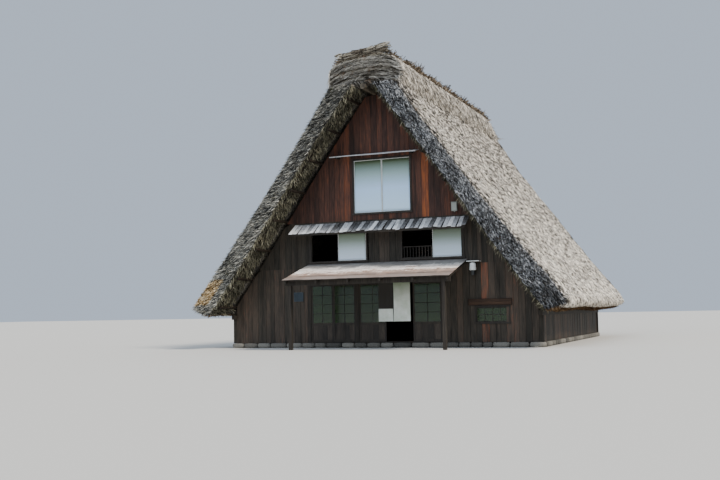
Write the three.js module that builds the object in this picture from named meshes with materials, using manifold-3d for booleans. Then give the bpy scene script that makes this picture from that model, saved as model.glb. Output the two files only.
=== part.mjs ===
// A steep thatched farmhouse: timber frames carry two thatched slopes that come down almost to
// the ground, and the gable end has boarded walls with two small pent roofs.
// Millimetres, +Z up, the gable entrance faces -Y, the ridge runs along Y.
// The origin lies on the ground under the middle of the whole outline.

import * as THREE from 'three';
import { mergeVertices } from 'three/addons/utils/BufferGeometryUtils.js';
import Module from 'manifold-3d';

const wasm = await Module();
wasm.setup();

// Driving dimensions, measured from the outer face of the front gable wall (y = 0)

const GAP = 0.3; // two pieces that touch keep this much air
const WALL_LENGTH = 9900; // front wall face to rear wall face
const VERGE = 1050; // the thatch stands this far in front of each gable
const ROOF_FRONT = -VERGE;
const ROOF_REAR = WALL_LENGTH + VERGE;

const RIDGE_SEAT = 7880; // flat top of the slopes, where the ridge cap sits
const UNDERSIDE = [[5240, 1070], [4090, 2640], [2270, 5220], [1290, 6580], [330, RIDGE_SEAT]];
const TOPSIDE = [
  [1085, RIDGE_SEAT], [1830, 6740], [2640, 5600], [3450, 4490], [4400, 3260], [5140, 2320], [5460, 1930],
];
const EAVE_LIP = [[5720, 1600], [5860, 1380], [5880, 1280], [5790, 1205], [5600, 1140]];
const SLOPE_STEPS = 10;

const CAP_PROFILE = [[1090, 7890], [1170, 8120], [1165, 8380], [1010, 8560], [640, 8680], [0, 8720]];
const CAP_FRONT = -1010;
const CAP_REAR = ROOF_REAR - 40;
const BUNDLE_RADIUS = 115;
const BUNDLE_HALF_LENGTH = 930;
const BUNDLE_HEIGHT = 8805;
const BUNDLE_SIDES = 10;
const BUNDLE_PLACES = [-830, 1350, 3350, 5350, 7350, 9150, 10750];
const FRONT_BUNDLE_LIFT = 60; // the front bundle lies askew on a pad of reed
const FRONT_BUNDLE_TILT = 0.107;
const FRONT_PAD = { half: 160, depth: 90, z: [8600, 8800] };

const BATTEN_DEPTH = 60;
const BATTEN_WIDTH = 60;
const BATTEN_COUNT = 11;
const PURLIN_RADIUS = 45;
const PURLIN_SIDES = 8;
const PURLIN_COUNT = 8;
const PURLIN_BITE = 10; // the purlins are notched this far over the battens
const PURLIN_FRONT = -940;
const PURLIN_REAR = WALL_LENGTH + 940;
const PURLIN_LOW = 1290;
const PURLIN_HIGH = 7480;
const PURLIN_AXIS = BATTEN_DEPTH + PURLIN_RADIUS - PURLIN_BITE;
const LAYER_DEPTH = PURLIN_AXIS + PURLIN_RADIUS; // battens and purlins together

const RAFTER_DEPTH = 210;
const FRAME_THICKNESS = 180;
const FRAME_FIRST = 130;
const FRAME_COUNT = 4;
const FRAME_HEEL = 7440; // under the ridge the two rafters close into one block
const RIDGE_POLE_RADIUS = 85;
const RIDGE_POLE_SIDES = 12;
const RIDGE_POLE_Z = RIDGE_SEAT - GAP - RIDGE_POLE_RADIUS;
const FRAME_TOP = RIDGE_POLE_Z - RIDGE_POLE_RADIUS - GAP;
const COLLARS = [[2190, 2400], [3700, 3900], [5860, 6010]]; // tie beams, low to high

const FOUNDATION_TOP = 150;
const FOUNDATION_OUT = 45; // the stones stand this far outside the posts
const FOUNDATION_WIDTH = 240;
const POST = 130;
const POST_FACE = 5000; // outer face of the corner posts
const PLATE_BOTTOM = 900;
const PLATE_TOP = 1040;
const WALL = 60;
const SIDE_WALL_INSET = 40;

const FLOOR_TOP = 160;
const DECK = 45;
const SLEEPER = 120;
const SLEEPER_COUNT = 9;
const UPPER_FLOORS = [2450, 3950]; // upper faces of the second and third floors

const STOREY_JOINT = 2450; // ground storey boards end here
const GABLE_JOINT = 3880; // second storey boards end here

const SILL_TOP = 175;
const LINTEL_BOTTOM = 1960;
const DOOR_FRAME_DEPTH = 120;
const DOOR_POSTS = [[-2360, -2240], [-750, -630], [2000, 2120]];
const PANEL_FRONT = 20;
const PANEL_BACK = 50;
const DOORWAY = [240, 1100];
const SLIDING_WIDTH = 890;
const SLIDING_OPEN_LEFT = 1105;
const SLIDING_TRAVEL = 880;
const SLIDING_FRONT = 62;
const SLIDING_BACK = 92;
const RUN_CLEARANCE = 5;
const GROOVE_DEPTH = 25;
const SLIDING_REACH = 15; // the door's top edge stands this far up in the groove
const RAIL_WIDTH = 8; // the door runs on a narrow rail along the sill

const STOREY_WINDOWS = [[-2220, -370], [810, 2690]];
const STOREY_WINDOW_Z = [2660, 3510];
const STOREY_PANELS = [[-1300, -370], [1760, 2690]]; // the right half of each window is closed
const ATTIC_WINDOW = [-720, 1100];
const ATTIC_WINDOW_Z = [4100, 5720];
const ATTIC_SLIT = 10;
const SIDE_LIGHT = [3040, 4010];
const SIDE_LIGHT_Z = [720, 1160];
const PAPER_PANEL = 25;

const LOWER_PENT = { left: -2310, right: 2830, wallTop: 2580, edgeTop: 2050, reach: 1870, skin: 30 };
const UPPER_PENT = { left: -2750, right: 2920, wallTop: 3840, edgeTop: 3515, reach: 500, skin: 28 };
const HOOD = { left: -1400, right: 1400, wallTop: 5930, edgeTop: 5850, reach: 330, skin: 32 };
const PENT_RAFTER = [60, 90]; // width, depth
const PENT_RAFTERS = 6;
const PENT_BEAM = [110, 130];
const PENT_BEAM_INSET = 160;
const PENT_POST = 100;
const PENT_POST_PLACES = [-2130, 2600];
const BRACKET_ARM = [50, 60];
const LEDGER = 60;

const SIGN = { x: [2810, 4110], z: [1210, 1400], depth: 35 };
const GABLE_BOX = { x: [2400, 2570], z: [3960, 4260], depth: 110 };
const LAMP = { x: 3010, hoodZ: 2480, shadeZ: [2230, 2450], baseZ: 2080, reach: 150 };

const CURTAIN_BOTTOM = 780;
const CURTAIN_THICKNESS = 14;
const CURTAIN_PLANE = -62;
const CURTAIN_SIDES = [[30, 500], [515, 1050]];
const CURTAIN_ROD = { x: [-20, 1110], z: 1990, radius: 13 };

// Materials

const finish = (color, roughness, metalness = 0) =>
  new THREE.MeshStandardMaterial({ color, roughness, metalness });

const thatch = finish(0x8b8377, 0.95);
const reedCap = finish(0x7b7460, 0.95);
const pole = finish(0x5b4c3a, 0.85);
const frameTimber = finish(0x3a2a20, 0.8);
const cedarBoard = finish(0x5e2f1c, 0.75);
const darkBoard = finish(0x3b221a, 0.8);
const weatheredBoard = finish(0x8f8a84, 0.9);
const rustedSheet = finish(0x9a7f70, 0.75, 0.3);
const paper = finish(0xd9e4ea, 0.8);
const glazedPanel = finish(0x2b2f2a, 0.4);
const stone = finish(0x8a867e, 0.9);
const floorBoard = finish(0x6d4c33, 0.7);
const linen = finish(0xe4dcc8, 0.9);
const enamel = finish(0xe9ecec, 0.4);
const greyBox = finish(0x9c9f98, 0.6);

// Shapes

const shapeOf = (points) => new THREE.Shape(points.map(([a, b]) => new THREE.Vector2(a, b)));

/** Extrude an outline and turn its two axes and its depth onto three axes of the house. */
function extrude(points, depth, first, second, along) {
  const geometry = new THREE.ExtrudeGeometry(shapeOf(points), { depth, bevelEnabled: false, steps: 1 });
  return geometry.applyMatrix4(new THREE.Matrix4().makeBasis(first, second, along));
}

const X = new THREE.Vector3(1, 0, 0);
const Y = new THREE.Vector3(0, 1, 0);
const Z = new THREE.Vector3(0, 0, 1);

/** An [x, z] outline that runs along Y. */
const alongY = (points, y0, y1) => extrude(points, y1 - y0, X, Z, Y.clone().negate()).translate(0, y1, 0);

/** A [y, z] outline that runs along X. */
const alongX = (points, x0, x1) => extrude(points, x1 - x0, Y, Z, X).translate(x0, 0, 0);

/** An [x, y] outline that runs up Z. */
const alongZ = (points, z0, z1) => extrude(points, z1 - z0, X, Y, Z).translate(0, 0, z0);

/** A box from three [low, high] spans. */
function box([x0, x1], [y0, y1], [z0, z1]) {
  const geometry = new THREE.BoxGeometry(x1 - x0, y1 - y0, z1 - z0);
  return geometry.translate((x0 + x1) / 2, (y0 + y1) / 2, (z0 + z1) / 2);
}

/** The points of a regular polygon around a centre, with one corner in a given direction. */
function polygon([cx, cz], radius, sides, startAngle) {
  const corner = (_, i) => {
    const angle = startAngle + (2 * Math.PI * i) / sides;
    return [cx + radius * Math.cos(angle), cz + radius * Math.sin(angle)];
  };
  return Array.from({ length: sides }, corner);
}

// Joining and cutting

function toSolid(geometry) {
  const bare = geometry.clone();
  bare.deleteAttribute('normal');
  bare.deleteAttribute('uv');
  const merged = mergeVertices(bare, 1e-3);
  const vertProperties = new Float32Array(merged.attributes.position.array);
  const triVerts = new Uint32Array(merged.index.array);
  return new wasm.Manifold(new wasm.Mesh({ numProp: 3, vertProperties, triVerts }));
}

function toGeometry(solid) {
  const { vertProperties, triVerts } = solid.getMesh();
  const geometry = new THREE.BufferGeometry();
  geometry.setAttribute('position', new THREE.BufferAttribute(new Float32Array(vertProperties), 3));
  geometry.setIndex(new THREE.BufferAttribute(new Uint32Array(triVerts), 1));
  return geometry;
}

const join = (...parts) => toGeometry(parts.map(toSolid).reduce((all, part) => all.add(part)));
const cut = (base, ...tools) =>
  toGeometry(tools.map(toSolid).reduce((left, tool) => left.subtract(tool), toSolid(base)));
const overlap = (one, other) => toGeometry(toSolid(one).intersect(toSolid(other)));

// The house

const house = new THREE.Group();

function add(name, geometry, material) {
  const mesh = new THREE.Mesh(geometry, material);
  mesh.name = name;
  house.add(mesh);
}

/** The same piece on the other side of the ridge line. */
function mirrored(geometry) {
  const copy = geometry.index ? geometry.toNonIndexed() : geometry.clone();
  copy.deleteAttribute('normal');
  copy.deleteAttribute('uv');
  const { array } = copy.attributes.position;
  for (let i = 0; i < array.length; i += 9) {
    const [ax, ay, az, bx, by, bz, cx, cy, cz] = array.slice(i, i + 9);
    array.set([-ax, ay, az, -cx, cy, cz, -bx, by, bz], i);
  }
  return copy;
}

// Roof section

function smooth(points, steps) {
  const nodes = points.map(([x, z]) => new THREE.Vector3(x, z, 0));
  const curve = new THREE.CatmullRomCurve3(nodes, false, 'centripetal');
  return curve.getSpacedPoints(steps).map((p) => [p.x, p.y]);
}

const underside = smooth(UNDERSIDE, SLOPE_STEPS);
const topside = smooth(TOPSIDE, SLOPE_STEPS);

/** Points of the underside moved square to the slope, into the house. */
function offsetUnderside(distance) {
  const move = ([x, z], i) => {
    const [x0, z0] = underside[Math.max(i - 1, 0)];
    const [x1, z1] = underside[Math.min(i + 1, underside.length - 1)];
    const length = Math.hypot(x1 - x0, z1 - z0);
    return [x - (distance * (z1 - z0)) / length, z + (distance * (x1 - x0)) / length];
  };
  return underside.map(move);
}

/** How far from the ridge line the offset underside is at a height, going on straight past its ends. */
function halfWidthAt(line, z) {
  const last = line.length - 2;
  const found = line.findIndex((point, i) => i < last && z <= line[i + 1][1]);
  const i = found < 0 ? last : found;
  const [x0, z0] = line[i];
  const [x1, z1] = line[i + 1];
  return x0 + ((z - z0) * (x1 - x0)) / (z1 - z0);
}

/** The outline of the space under the slopes between two heights, this far inside the thatch. */
function roofSpace(distance, zLow, zHigh) {
  const line = offsetUnderside(distance);
  const between = line.filter(([, z]) => z > zLow + 1 && z < zHigh - 1);
  const right = [[halfWidthAt(line, zLow), zLow], ...between, [halfWidthAt(line, zHigh), zHigh]];
  const left = right.map(([x, z]) => [-x, z]).reverse();
  return [...right, ...left];
}

function thatchSlope() {
  const outline = [...topside, ...EAVE_LIP, ...underside];
  return alongY(outline.reverse(), ROOF_FRONT, ROOF_REAR);
}

function bundle(y, lift, tilt) {
  const round = polygon([0, 0], BUNDLE_RADIUS, BUNDLE_SIDES, Math.PI / BUNDLE_SIDES);
  const lying = alongX(round, -BUNDLE_HALF_LENGTH, BUNDLE_HALF_LENGTH);
  return lying.rotateY(-tilt).translate(0, y, BUNDLE_HEIGHT + lift);
}

function ridgeCap() {
  const left = CAP_PROFILE.slice(0, -1).map(([x, z]) => [-x, z]).reverse();
  const base = [[-CAP_PROFILE[0][0], RIDGE_SEAT], [CAP_PROFILE[0][0], RIDGE_SEAT]];
  const body = alongY([...base, ...CAP_PROFILE, ...left], CAP_FRONT, CAP_REAR);
  const [front, ...others] = BUNDLE_PLACES;
  const bundles = others.map((y) => bundle(y, 0, 0));
  const { half, depth, z } = FRONT_PAD;
  const pad = box([-half, half], [front - depth, front + depth], z);
  return join(body, bundle(front, FRONT_BUNDLE_LIFT, FRONT_BUNDLE_TILT), pad, ...bundles);
}

/** The pole and batten layer that carries one slope. */
function purlinLayer() {
  const outer = roofSpace(GAP, PURLIN_LOW - 90, PURLIN_HIGH + 120);
  const inner = roofSpace(BATTEN_DEPTH, 0, RIDGE_SEAT);
  const first = PURLIN_FRONT + 100;
  const pitch = (PURLIN_REAR - PURLIN_FRONT - 200) / (BATTEN_COUNT - 1);
  const rightHalf = box([0, POST_FACE * 2], [ROOF_FRONT, ROOF_REAR], [0, RIDGE_SEAT]);
  const battens = Array.from({ length: BATTEN_COUNT }, (_, i) => {
    const y = first + i * pitch;
    const shell = alongY(outer, y - BATTEN_WIDTH / 2, y + BATTEN_WIDTH / 2);
    const band = cut(shell, alongY(inner, y - BATTEN_WIDTH, y + BATTEN_WIDTH));
    return overlap(band, rightHalf);
  });
  const axisLine = offsetUnderside(PURLIN_AXIS);
  const purlins = Array.from({ length: PURLIN_COUNT }, (_, i) => {
    const z = PURLIN_LOW + ((PURLIN_HIGH - PURLIN_LOW) * i) / (PURLIN_COUNT - 1);
    const x = halfWidthAt(axisLine, z);
    const slope = Math.atan2(10, halfWidthAt(axisLine, z) - halfWidthAt(axisLine, z + 10));
    const round = polygon([x, z], PURLIN_RADIUS, PURLIN_SIDES, -Math.PI / 2 - slope);
    return alongY(round, PURLIN_FRONT, PURLIN_REAR);
  });
  return join(...battens, ...purlins);
}

function rafterFrame(y) {
  const span = [y, y + FRAME_THICKNESS];
  const outer = alongY(roofSpace(LAYER_DEPTH + GAP, PLATE_TOP + GAP, FRAME_TOP), ...span);
  const hollow = roofSpace(LAYER_DEPTH + RAFTER_DEPTH, PLATE_TOP - 200, FRAME_HEEL);
  const rafters = cut(outer, alongY(hollow, y - 1, y + FRAME_THICKNESS + 1));
  const collars = COLLARS.map((z) => overlap(outer, box([-POST_FACE, POST_FACE], span, z)));
  return join(rafters, ...collars);
}

add('thatch_right', thatchSlope(), thatch);
add('thatch_left', mirrored(thatchSlope()), thatch);
add('ridge_cap', ridgeCap(), reedCap);
const layer = purlinLayer();
add('purlins_right', layer, pole);
add('purlins_left', mirrored(layer), pole);
const poleEnd = polygon([0, RIDGE_POLE_Z], RIDGE_POLE_RADIUS, RIDGE_POLE_SIDES, Math.PI / 2);
add('ridge_pole', alongY(poleEnd, PURLIN_FRONT, PURLIN_REAR), pole);

const framePitch = (WALL_LENGTH - 2 * FRAME_FIRST - FRAME_THICKNESS) / (FRAME_COUNT - 1);
for (let i = 0; i < FRAME_COUNT; i += 1) {
  add(`rafter_frame_${i + 1}`, rafterFrame(FRAME_FIRST + i * framePitch), frameTimber);
}

// Foundation, floors and side walls

function foundation() {
  const half = POST_FACE + FOUNDATION_OUT;
  const height = [0, FOUNDATION_TOP];
  const whole = box([-half, half], [-FOUNDATION_OUT, WALL_LENGTH + FOUNDATION_OUT], height);
  const inner = half - FOUNDATION_WIDTH;
  const front = FOUNDATION_WIDTH - FOUNDATION_OUT;
  return cut(whole, box([-inner, inner], [front, WALL_LENGTH - front], [-10, FOUNDATION_TOP + 10]));
}

/** Boards on sleepers that lie on the ground between the foundation stones. */
function groundFloor() {
  const half = POST_FACE + FOUNDATION_OUT - FOUNDATION_WIDTH - GAP;
  const y0 = FOUNDATION_WIDTH - FOUNDATION_OUT + GAP;
  const y1 = WALL_LENGTH - y0;
  const deck = box([-half, half], [y0, y1], [FLOOR_TOP - DECK, FLOOR_TOP]);
  const pitch = (2 * half - SLEEPER) / (SLEEPER_COUNT - 1);
  const sleeper = (_, i) => {
    const x = -half + i * pitch;
    return box([x, x + SLEEPER], [y0, y1], [0, FLOOR_TOP - DECK / 2]);
  };
  return join(deck, ...Array.from({ length: SLEEPER_COUNT }, sleeper));
}

function upperFloor(top) {
  const line = offsetUnderside(LAYER_DEPTH + RAFTER_DEPTH);
  const half = halfWidthAt(line, top) - 10;
  const ends = [DOOR_FRAME_DEPTH + GAP, WALL_LENGTH - WALL - GAP];
  return box([-half, half], ends, [top - 50 + GAP, top]);
}

/** Two corner posts with the boards between them, in plan. */
function sideWall() {
  const outer = POST_FACE;
  const inner = POST_FACE - POST;
  const face = POST_FACE - SIDE_WALL_INSET;
  const back = face - WALL;
  const y1 = WALL_LENGTH;
  const plan = [
    [inner, 0], [outer, 0], [outer, POST], [face, POST], [face, y1 - POST], [outer, y1 - POST],
    [outer, y1], [inner, y1], [inner, y1 - POST], [back, y1 - POST], [back, POST], [inner, POST],
  ];
  return alongZ(plan, FOUNDATION_TOP + GAP, PLATE_BOTTOM - GAP);
}

add('foundation', foundation(), stone);
add('ground_floor', groundFloor(), floorBoard);
add('second_floor', upperFloor(UPPER_FLOORS[0]), floorBoard);
add('third_floor', upperFloor(UPPER_FLOORS[1]), floorBoard);
add('right_wall', sideWall(), darkBoard);
add('left_wall', mirrored(sideWall()), darkBoard);
const plate = () => box([POST_FACE - POST, POST_FACE], [-120, WALL_LENGTH + 120], [PLATE_BOTTOM, PLATE_TOP]);
add('wall_plate_right', plate(), frameTimber);
add('wall_plate_left', mirrored(plate()), frameTimber);

// Gable walls

/** A boarded wall between two heights, cut to the slopes, with openings given as [xs, zs]. */
function gableWall(xs, zs, y, openings) {
  const space = alongY(roofSpace(LAYER_DEPTH + 2 * GAP, zs[0], zs[1]), y, y + WALL);
  const board = overlap(space, box(xs, [y - 1, y + WALL + 1], [zs[0] - 1, zs[1] + 1]));
  const holes = openings.map(([ox, oz]) => box(ox, [y - 10, y + WALL + 10], oz));
  return holes.length ? cut(board, ...holes) : board;
}

const whole = [-POST_FACE + POST + GAP, POST_FACE - POST - GAP];
const groundZ = [FOUNDATION_TOP + GAP, STOREY_JOINT - GAP];
const storeyZ = [STOREY_JOINT, GABLE_JOINT - GAP];
const gableZ = [GABLE_JOINT, FRAME_TOP];
const storeyOpenings = STOREY_WINDOWS.map((xs) => [xs, STOREY_WINDOW_Z]);
const atticOpening = [[ATTIC_WINDOW, ATTIC_WINDOW_Z]];
const doorZone = [DOOR_POSTS[0][0], DOOR_POSTS[2][1]];
const rearY = WALL_LENGTH - WALL;

add('front_wall_left', gableWall([whole[0], doorZone[0] - GAP], groundZ, 0, []), darkBoard);
const rightSpan = [doorZone[1] + GAP, whole[1]];
add('front_wall_right', gableWall(rightSpan, groundZ, 0, [[SIDE_LIGHT, SIDE_LIGHT_Z]]), darkBoard);
add('front_storey_wall', gableWall(whole, storeyZ, 0, storeyOpenings), darkBoard);
add('front_gable_wall', gableWall(whole, gableZ, 0, atticOpening), cedarBoard);
add('rear_wall', gableWall(whole, groundZ, rearY, []), darkBoard);
add('rear_storey_wall', gableWall(whole, storeyZ, rearY, storeyOpenings), darkBoard);
add('rear_gable_wall', gableWall(whole, gableZ, rearY, atticOpening), cedarBoard);

// Entrance

function lintel() {
  const beam = box(doorZone, [0, DOOR_FRAME_DEPTH], [LINTEL_BOTTOM, STOREY_JOINT - GAP]);
  const grooveSpan = [SLIDING_OPEN_LEFT - SLIDING_TRAVEL - 2 * RUN_CLEARANCE, DOOR_POSTS[2][0]];
  const grooveDepth = [SLIDING_FRONT - RUN_CLEARANCE, SLIDING_BACK + RUN_CLEARANCE];
  return cut(beam, box(grooveSpan, grooveDepth, [LINTEL_BOTTOM - 10, LINTEL_BOTTOM + GROOVE_DEPTH]));
}

const panelZ = [SILL_TOP + GAP, LINTEL_BOTTOM - GAP];
const frameDepth = [0, DOOR_FRAME_DEPTH];
const panelDepth = [PANEL_FRONT, PANEL_BACK];
const glazed = (x0, x1) => box([x0, x1], panelDepth, panelZ);

/** The sill with the rail that carries the sliding door. */
function sill() {
  const middle = (SLIDING_FRONT + SLIDING_BACK) / 2;
  const railX = [SLIDING_OPEN_LEFT - SLIDING_TRAVEL, DOOR_POSTS[2][0] - GAP];
  const railZ = [SILL_TOP - RUN_CLEARANCE, SILL_TOP + RUN_CLEARANCE - GAP];
  const rail = box(railX, [middle - RAIL_WIDTH / 2, middle + RAIL_WIDTH / 2], railZ);
  return join(box(doorZone, frameDepth, [FOUNDATION_TOP + GAP, SILL_TOP]), rail);
}

add('door_sill', sill(), frameTimber);
add('door_lintel', lintel(), frameTimber);
['left', 'middle', 'right'].forEach((side, i) => {
  add(`door_post_${side}`, box(DOOR_POSTS[i], frameDepth, panelZ), frameTimber);
});
const leftBay = [DOOR_POSTS[0][1] + GAP, DOOR_POSTS[1][0] - GAP];
const leftBayMiddle = (leftBay[0] + leftBay[1]) / 2;
add('glazed_panel_1', glazed(leftBay[0], leftBayMiddle - GAP / 2), glazedPanel);
add('glazed_panel_2', glazed(leftBayMiddle + GAP / 2, leftBay[1]), glazedPanel);
add('glazed_panel_3', glazed(DOOR_POSTS[1][1] + GAP, DOORWAY[0]), glazedPanel);
add('glazed_panel_4', glazed(DOORWAY[1], DOOR_POSTS[2][0] - GAP), glazedPanel);
const slidingX = [SLIDING_OPEN_LEFT, SLIDING_OPEN_LEFT + SLIDING_WIDTH];
const slidingZ = [SILL_TOP + RUN_CLEARANCE, LINTEL_BOTTOM + SLIDING_REACH];
add('entrance_door', box(slidingX, [SLIDING_FRONT, SLIDING_BACK], slidingZ), glazedPanel);

// Window panels

function paperPanel([x0, x1], [z0, z1], y) {
  return box([x0, x1], [y, y + PAPER_PANEL], [z0 + GAP, z1 - GAP]);
}

STOREY_PANELS.forEach(([x0, x1], i) => {
  add(`storey_panel_${i ? 'right' : 'left'}`, paperPanel([x0, x1 - GAP], STOREY_WINDOW_Z, 12), paper);
});
const slit = (ATTIC_WINDOW[0] + ATTIC_WINDOW[1]) / 2;
const atticLeft = [ATTIC_WINDOW[0] + GAP, slit - ATTIC_SLIT / 2];
const atticRight = [slit + ATTIC_SLIT / 2, ATTIC_WINDOW[1] - GAP];
add('attic_panel_left', paperPanel(atticLeft, ATTIC_WINDOW_Z, 12), paper);
add('attic_panel_right', paperPanel(atticRight, ATTIC_WINDOW_Z, 12), paper);
STOREY_WINDOWS.forEach(([x0, x1], i) => {
  const inner = paperPanel([x0 + GAP, x1 - GAP], STOREY_WINDOW_Z, WALL_LENGTH - PAPER_PANEL - 12);
  add(`rear_panel_${i ? 'right' : 'left'}`, inner, paper);
});
const rearAttic = [ATTIC_WINDOW[0] + GAP, ATTIC_WINDOW[1] - GAP];
add('rear_panel_attic', paperPanel(rearAttic, ATTIC_WINDOW_Z, WALL_LENGTH - PAPER_PANEL - 12), paper);
add('side_light', paperPanel([SIDE_LIGHT[0] + GAP, SIDE_LIGHT[1] - GAP], SIDE_LIGHT_Z, 18), glazedPanel);

// Pent roofs

/** Height of a pent's upper face at a distance in front of the wall. */
const pentTop = (pent, out) => pent.wallTop - ((pent.wallTop - pent.edgeTop) * out) / pent.reach;

/** A sloping strip under a pent's upper face, from one distance out to another, in [y, z]. */
function pentStrip(pent, from, to, above, below) {
  return [
    [-from, pentTop(pent, from) - below], [-from, pentTop(pent, from) - above],
    [-to, pentTop(pent, to) - above], [-to, pentTop(pent, to) - below],
  ];
}

function pentSkin(pent) {
  return alongX(pentStrip(pent, GAP, pent.reach, 0, pent.skin), pent.left, pent.right);
}

/** Rafters, a wall ledger and a front beam on two posts. */
function lowerPentFrame(pent) {
  const [width, depth] = PENT_RAFTER;
  const top = pent.skin + GAP;
  const pitch = (pent.right - pent.left - 2 * 60 - width) / (PENT_RAFTERS - 1);
  const rafters = Array.from({ length: PENT_RAFTERS }, (_, i) => {
    const x = pent.left + 60 + i * pitch;
    return alongX(pentStrip(pent, GAP, pent.reach - 40, top, top + depth), x, x + width);
  });
  const [beamWidth, beamDepth] = PENT_BEAM;
  const out = pent.reach - PENT_BEAM_INSET;
  const beamTop = pentTop(pent, out) - top - depth / 2;
  const ends = [pent.left + 40, pent.right - 40];
  const beam = box(ends, [-out, -out + beamWidth], [beamTop - beamDepth, beamTop]);
  const ledgerTop = pentTop(pent, LEDGER) - top - 10;
  const ledger = box(ends, [-LEDGER, -GAP], [ledgerTop - 120, ledgerTop]);
  const posts = PENT_POST_PLACES.map((x) => {
    const y = -out + (beamWidth - PENT_POST) / 2;
    return box([x - PENT_POST / 2, x + PENT_POST / 2], [y, y + PENT_POST], [0, beamTop - beamDepth / 2]);
  });
  return join(ledger, beam, ...rafters, ...posts);
}

/** Bracket arms that reach from a wall ledger to a front rail. */
function upperPentFrame(pent, arms) {
  const [width, depth] = BRACKET_ARM;
  const top = pent.skin + GAP;
  const pitch = (pent.right - pent.left - 2 * 80 - width) / (arms - 1);
  const brackets = Array.from({ length: arms }, (_, i) => {
    const x = pent.left + 80 + i * pitch;
    return alongX(pentStrip(pent, GAP, pent.reach - 30, top, top + depth), x, x + width);
  });
  const railOut = pent.reach - 110;
  const below = top + depth + 10;
  const ends = [pent.left + 30, pent.right - 30];
  const rail = alongX(pentStrip(pent, railOut, railOut + 60, top, below), ...ends);
  const ledger = alongX(pentStrip(pent, GAP, 50, top, below), ...ends);
  return join(ledger, rail, ...brackets);
}

function windowHood(pent) {
  const skin = pentSkin(pent);
  const arms = [pent.left + 160, pent.right - 220].map((x) =>
    alongX(pentStrip(pent, GAP, pent.reach - 60, pent.skin / 2, pent.skin + 60), x, x + 60));
  return join(skin, ...arms);
}

add('lower_pent_roof', pentSkin(LOWER_PENT), rustedSheet);
add('lower_pent_frame', lowerPentFrame(LOWER_PENT), frameTimber);
add('upper_pent_roof', pentSkin(UPPER_PENT), weatheredBoard);
add('upper_pent_frame', upperPentFrame(UPPER_PENT, 6), frameTimber);
add('window_hood', windowHood(HOOD), weatheredBoard);

// Fittings on the front

const onWall = (depth) => [-depth, -GAP];
add('sign_board', box(SIGN.x, onWall(SIGN.depth), SIGN.z), darkBoard);
add('gable_box', box(GABLE_BOX.x, onWall(GABLE_BOX.depth), GABLE_BOX.z), greyBox);

/** A back plate, a shade and a flat hood over it. */
function wallLamp() {
  const { x, hoodZ, shadeZ, baseZ, reach } = LAMP;
  const back = box([x - 40, x + 40], [-30, -GAP], [baseZ, hoodZ]);
  const hood = box([x - 165, x + 220], [-reach * 1.6, -GAP], [hoodZ, hoodZ + 22]);
  const shadeAt = -reach * 0.75;
  const neck = box([x - 25, x + 25], [shadeAt, -20], [shadeZ[1] - 30, hoodZ + 11]);
  const shade = alongZ(polygon([x, shadeAt], 100, 12, 0), shadeZ[0], shadeZ[1]);
  const foot = alongZ(polygon([x, shadeAt], 62, 12, 0), baseZ, shadeZ[0] + 10);
  return join(back, hood, neck, shade, foot);
}
add('wall_lamp', wallLamp(), enamel);

// Curtain in the doorway

function curtainRod() {
  const { x, z, radius } = CURTAIN_ROD;
  const rod = alongX(polygon([CURTAIN_PLANE, z], radius, 8, 0), x[0], x[1]);
  const places = [x[0] + 30, x[1] - 50];
  const hooks = places.map((at) => box([at, at + 16], [CURTAIN_PLANE, -GAP], [z - 8, z + 8]));
  return join(rod, ...hooks);
}

add('curtain_rod', curtainRod(), pole);
const curtainDepth = [CURTAIN_PLANE - CURTAIN_THICKNESS / 2, CURTAIN_PLANE + CURTAIN_THICKNESS / 2];
const curtainTop = CURTAIN_ROD.z - CURTAIN_ROD.radius - GAP;
CURTAIN_SIDES.forEach((xs, i) => {
  add(`curtain_${i ? 'right' : 'left'}`, box(xs, curtainDepth, [CURTAIN_BOTTOM, curtainTop]), linen);
});

// The origin lies under the middle of the outline, which runs from the pent's edge to the rear verge
house.position.y = (LOWER_PENT.reach - ROOF_REAR) / 2;

export default house;
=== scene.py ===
"""The looks of a steep thatched farmhouse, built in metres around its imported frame.

Every sub-assembly is a class that holds its sizes and builds its own meshes. Reeds, straw, slats
and bars that repeat are made by Geometry Nodes and turned into plain meshes.
"""

import itertools
import logging
import math
from dataclasses import dataclass
from enum import Enum
from typing import Iterator, Optional, Sequence

import bpy
import numpy as np
from mathutils import Matrix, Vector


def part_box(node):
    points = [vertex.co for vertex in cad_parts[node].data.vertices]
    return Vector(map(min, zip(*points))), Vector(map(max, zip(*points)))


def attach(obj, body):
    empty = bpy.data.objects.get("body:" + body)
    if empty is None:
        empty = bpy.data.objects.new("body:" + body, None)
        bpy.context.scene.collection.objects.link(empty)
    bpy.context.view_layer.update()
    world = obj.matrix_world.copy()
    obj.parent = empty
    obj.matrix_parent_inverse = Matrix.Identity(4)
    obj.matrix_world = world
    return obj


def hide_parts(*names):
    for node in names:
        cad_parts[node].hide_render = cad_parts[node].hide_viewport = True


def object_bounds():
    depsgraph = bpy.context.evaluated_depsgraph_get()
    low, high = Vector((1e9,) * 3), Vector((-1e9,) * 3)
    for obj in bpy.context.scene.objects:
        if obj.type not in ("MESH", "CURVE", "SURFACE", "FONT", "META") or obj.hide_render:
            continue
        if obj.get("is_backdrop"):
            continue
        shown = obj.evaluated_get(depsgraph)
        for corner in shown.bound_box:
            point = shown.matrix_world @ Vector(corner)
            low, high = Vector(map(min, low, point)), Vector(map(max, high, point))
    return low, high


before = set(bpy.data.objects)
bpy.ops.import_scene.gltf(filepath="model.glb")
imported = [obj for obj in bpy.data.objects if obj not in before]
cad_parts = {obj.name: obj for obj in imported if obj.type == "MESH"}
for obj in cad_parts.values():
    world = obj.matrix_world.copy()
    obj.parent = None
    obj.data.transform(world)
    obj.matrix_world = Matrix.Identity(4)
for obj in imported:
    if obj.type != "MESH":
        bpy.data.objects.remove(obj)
CAD_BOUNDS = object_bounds()

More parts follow.
